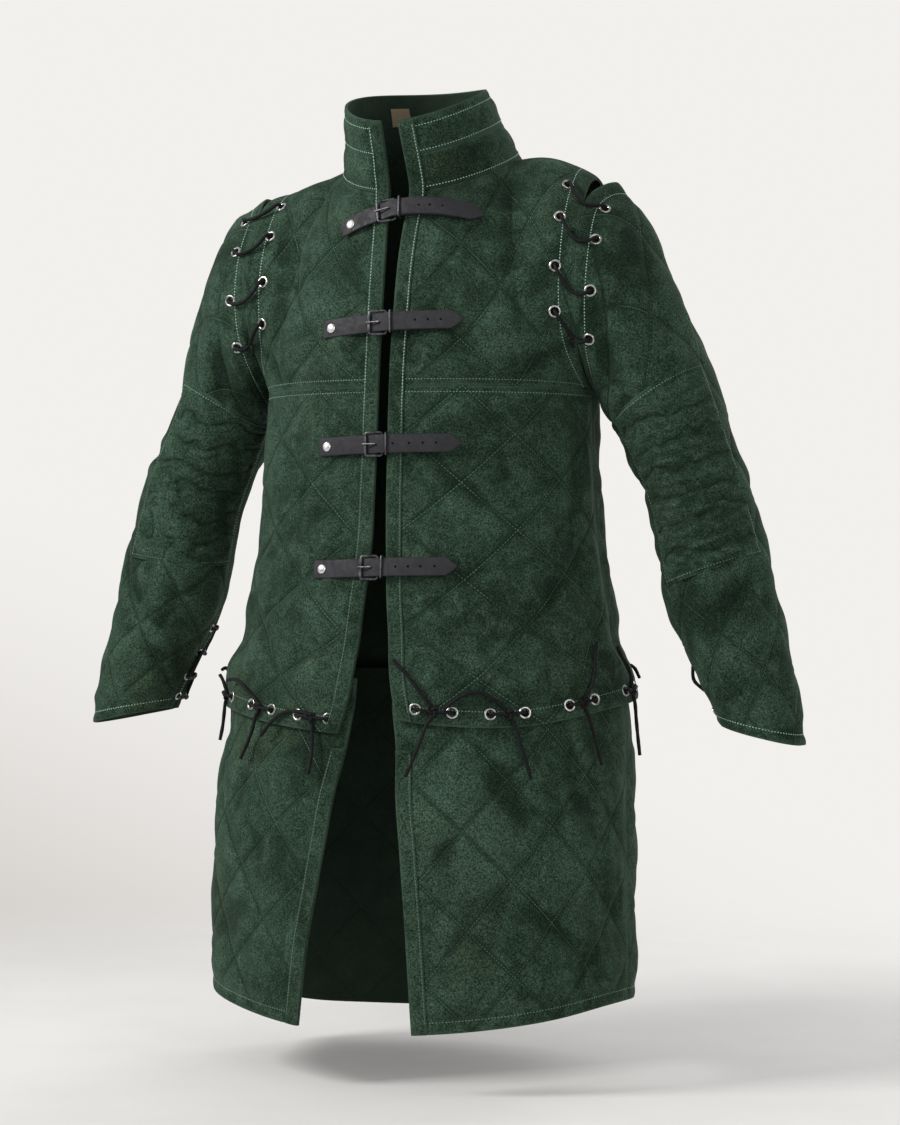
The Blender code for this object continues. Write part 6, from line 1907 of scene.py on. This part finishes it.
def flat_size(cloth):
    """The widest run across, the longest run down, and the area of the outer face."""
    across = cloth["edges"][0][-1].max()
    down = cloth["edges"][2][:, -1].max()
    top = cloth["top"]
    a, b = top[1:, 1:] - top[:-1, :-1], top[1:, :-1] - top[:-1, 1:]
    area = float(np.linalg.norm(np.cross(a, b), axis=-1).sum() / 2)
    return float(across), float(down), min(area, 0.995 * float(across * down))


CUT = 0.0
for name, held, rests_on in HELD:
    width, length, area = flat_size(CLOTHS[name])
    CUT += area
    print(f"{name}: {width * 1000:.0f} x {length * 1000:.0f} mm, {area:.3f} m2")
print("whole cut:", round(CUT, 2), "m2")

# %% [markdown]
# ## Light and floor
# One large soft window from the viewer's left models the quilting, a weaker one opens up the right side and a
# third lights the back. The pale floor lies under the hem, where it catches a faint shadow, and fades out
# into a pale room that lights the coat evenly, so that no wall stands in the way of a viewer who walks round
# the coat. The room as the camera sees it is painted shade, darker towards the lower left.

# %% Lights, the floor and the room
def soft_light(name, place, power, size, towards=(0.0, 0.0, -0.45)):
    light = bpy.data.lights.new(name, "AREA")
    light.energy, light.size = power, size
    lamp = bpy.data.objects.new(name, light)
    bpy.context.scene.collection.objects.link(lamp)
    lamp.location = place
    lamp.rotation_euler = (Vector(towards) - lamp.location).to_track_quat("-Z", "Y").to_euler()


soft_light("window_left", (-2.0, -1.9, 1.3), 88.0, 1.0)
soft_light("window_right", (2.6, -2.2, 0.1), 24.0, 2.0)
soft_light("window_back", (0.9, 3.0, 0.6), 34.0, 2.2)
world = bpy.data.worlds.new("room")
bpy.context.scene.world = world
world.use_nodes = True
room = world.node_tree
links, nodes = room.links, room.nodes
# What the camera sees of the room is painted shade: darker towards the lower left, paler towards the upper
# right. Other rays see an even pale light.
direction = nodes.new("ShaderNodeSeparateXYZ")
links.new(nodes.new("ShaderNodeTexCoord").outputs["Generated"], direction.inputs[0])
lean = nodes.new("ShaderNodeMath")
lean.operation = "MULTIPLY_ADD"
links.new(direction.outputs["X"], lean.inputs[0])
lean.inputs[1].default_value = 0.45
links.new(direction.outputs["Z"], lean.inputs[2])
fade = nodes.new("ShaderNodeValToRGB")
fade.color_ramp.interpolation = "EASE"
fade.color_ramp.elements[0].color, fade.color_ramp.elements[1].color = (
    colour(0.585, 0.560, 0.535), colour(0.890, 0.870, 0.845))
stretch = nodes.new("ShaderNodeMapRange")
for socket, value in zip(stretch.inputs[1:5], (-0.44, -0.20, 0.0, 1.0)):
    socket.default_value = value
links.new(lean.outputs[0], stretch.inputs[0])
links.new(stretch.outputs[0], fade.inputs[0])
seen, lit = nodes["Background"], nodes.new("ShaderNodeBackground")
links.new(fade.outputs[0], seen.inputs["Color"])
lit.inputs["Color"].default_value, lit.inputs["Strength"].default_value = colour(0.97, 0.985, 1.0), 0.52
choose = nodes.new("ShaderNodeMixShader")
links.new(nodes.new("ShaderNodeLightPath").outputs["Is Camera Ray"], choose.inputs[0])
links.new(lit.outputs[0], choose.inputs[1])
links.new(seen.outputs[0], choose.inputs[2])
links.new(choose.outputs[0], nodes["World Output"].inputs["Surface"])

FLOOR_Z, FLOOR_RADIUS, FLOOR_SIDES = -1.06, 1.9, 96
turns = np.linspace(0, 2 * PI, FLOOR_SIDES + 1)[:-1]
points = [(0.0, 0.0, FLOOR_Z)] + [
    (FLOOR_RADIUS * math.cos(turn), FLOOR_RADIUS * math.sin(turn), FLOOR_Z) for turn in turns]
floor = make_mesh("pale_floor", points,
                  [(0, k + 1, (k + 1) % FLOOR_SIDES + 1) for k in range(FLOOR_SIDES)], 60)
paper = new_material("warm_paper", 0.95, specular=0.1)
kit = Kit(paper)
kit.set("Base Color",
         kit.mix(kit.between(kit.noise(3.0, 5.0, 0.6), 0.3, 0.7),
                 colour(0.78, 0.765, 0.745), colour(0.84, 0.825, 0.805)))
kit.set("Normal", kit.bump(kit.noise(120.0, 4.0), 0.08, 0.001))
away = kit.node("ShaderNodeVectorMath", operation="LENGTH")
kit.feed(away.inputs[0], kit.place)
kit.set("Alpha", kit.between(kit.math("ABSOLUTE", away.outputs["Value"]), 1.15, 2.05, 0.75, 0.0))
floor.data.materials.append(paper)
bpy.context.scene.view_settings.view_transform = "Standard"
print("lights:", len(bpy.data.lights))
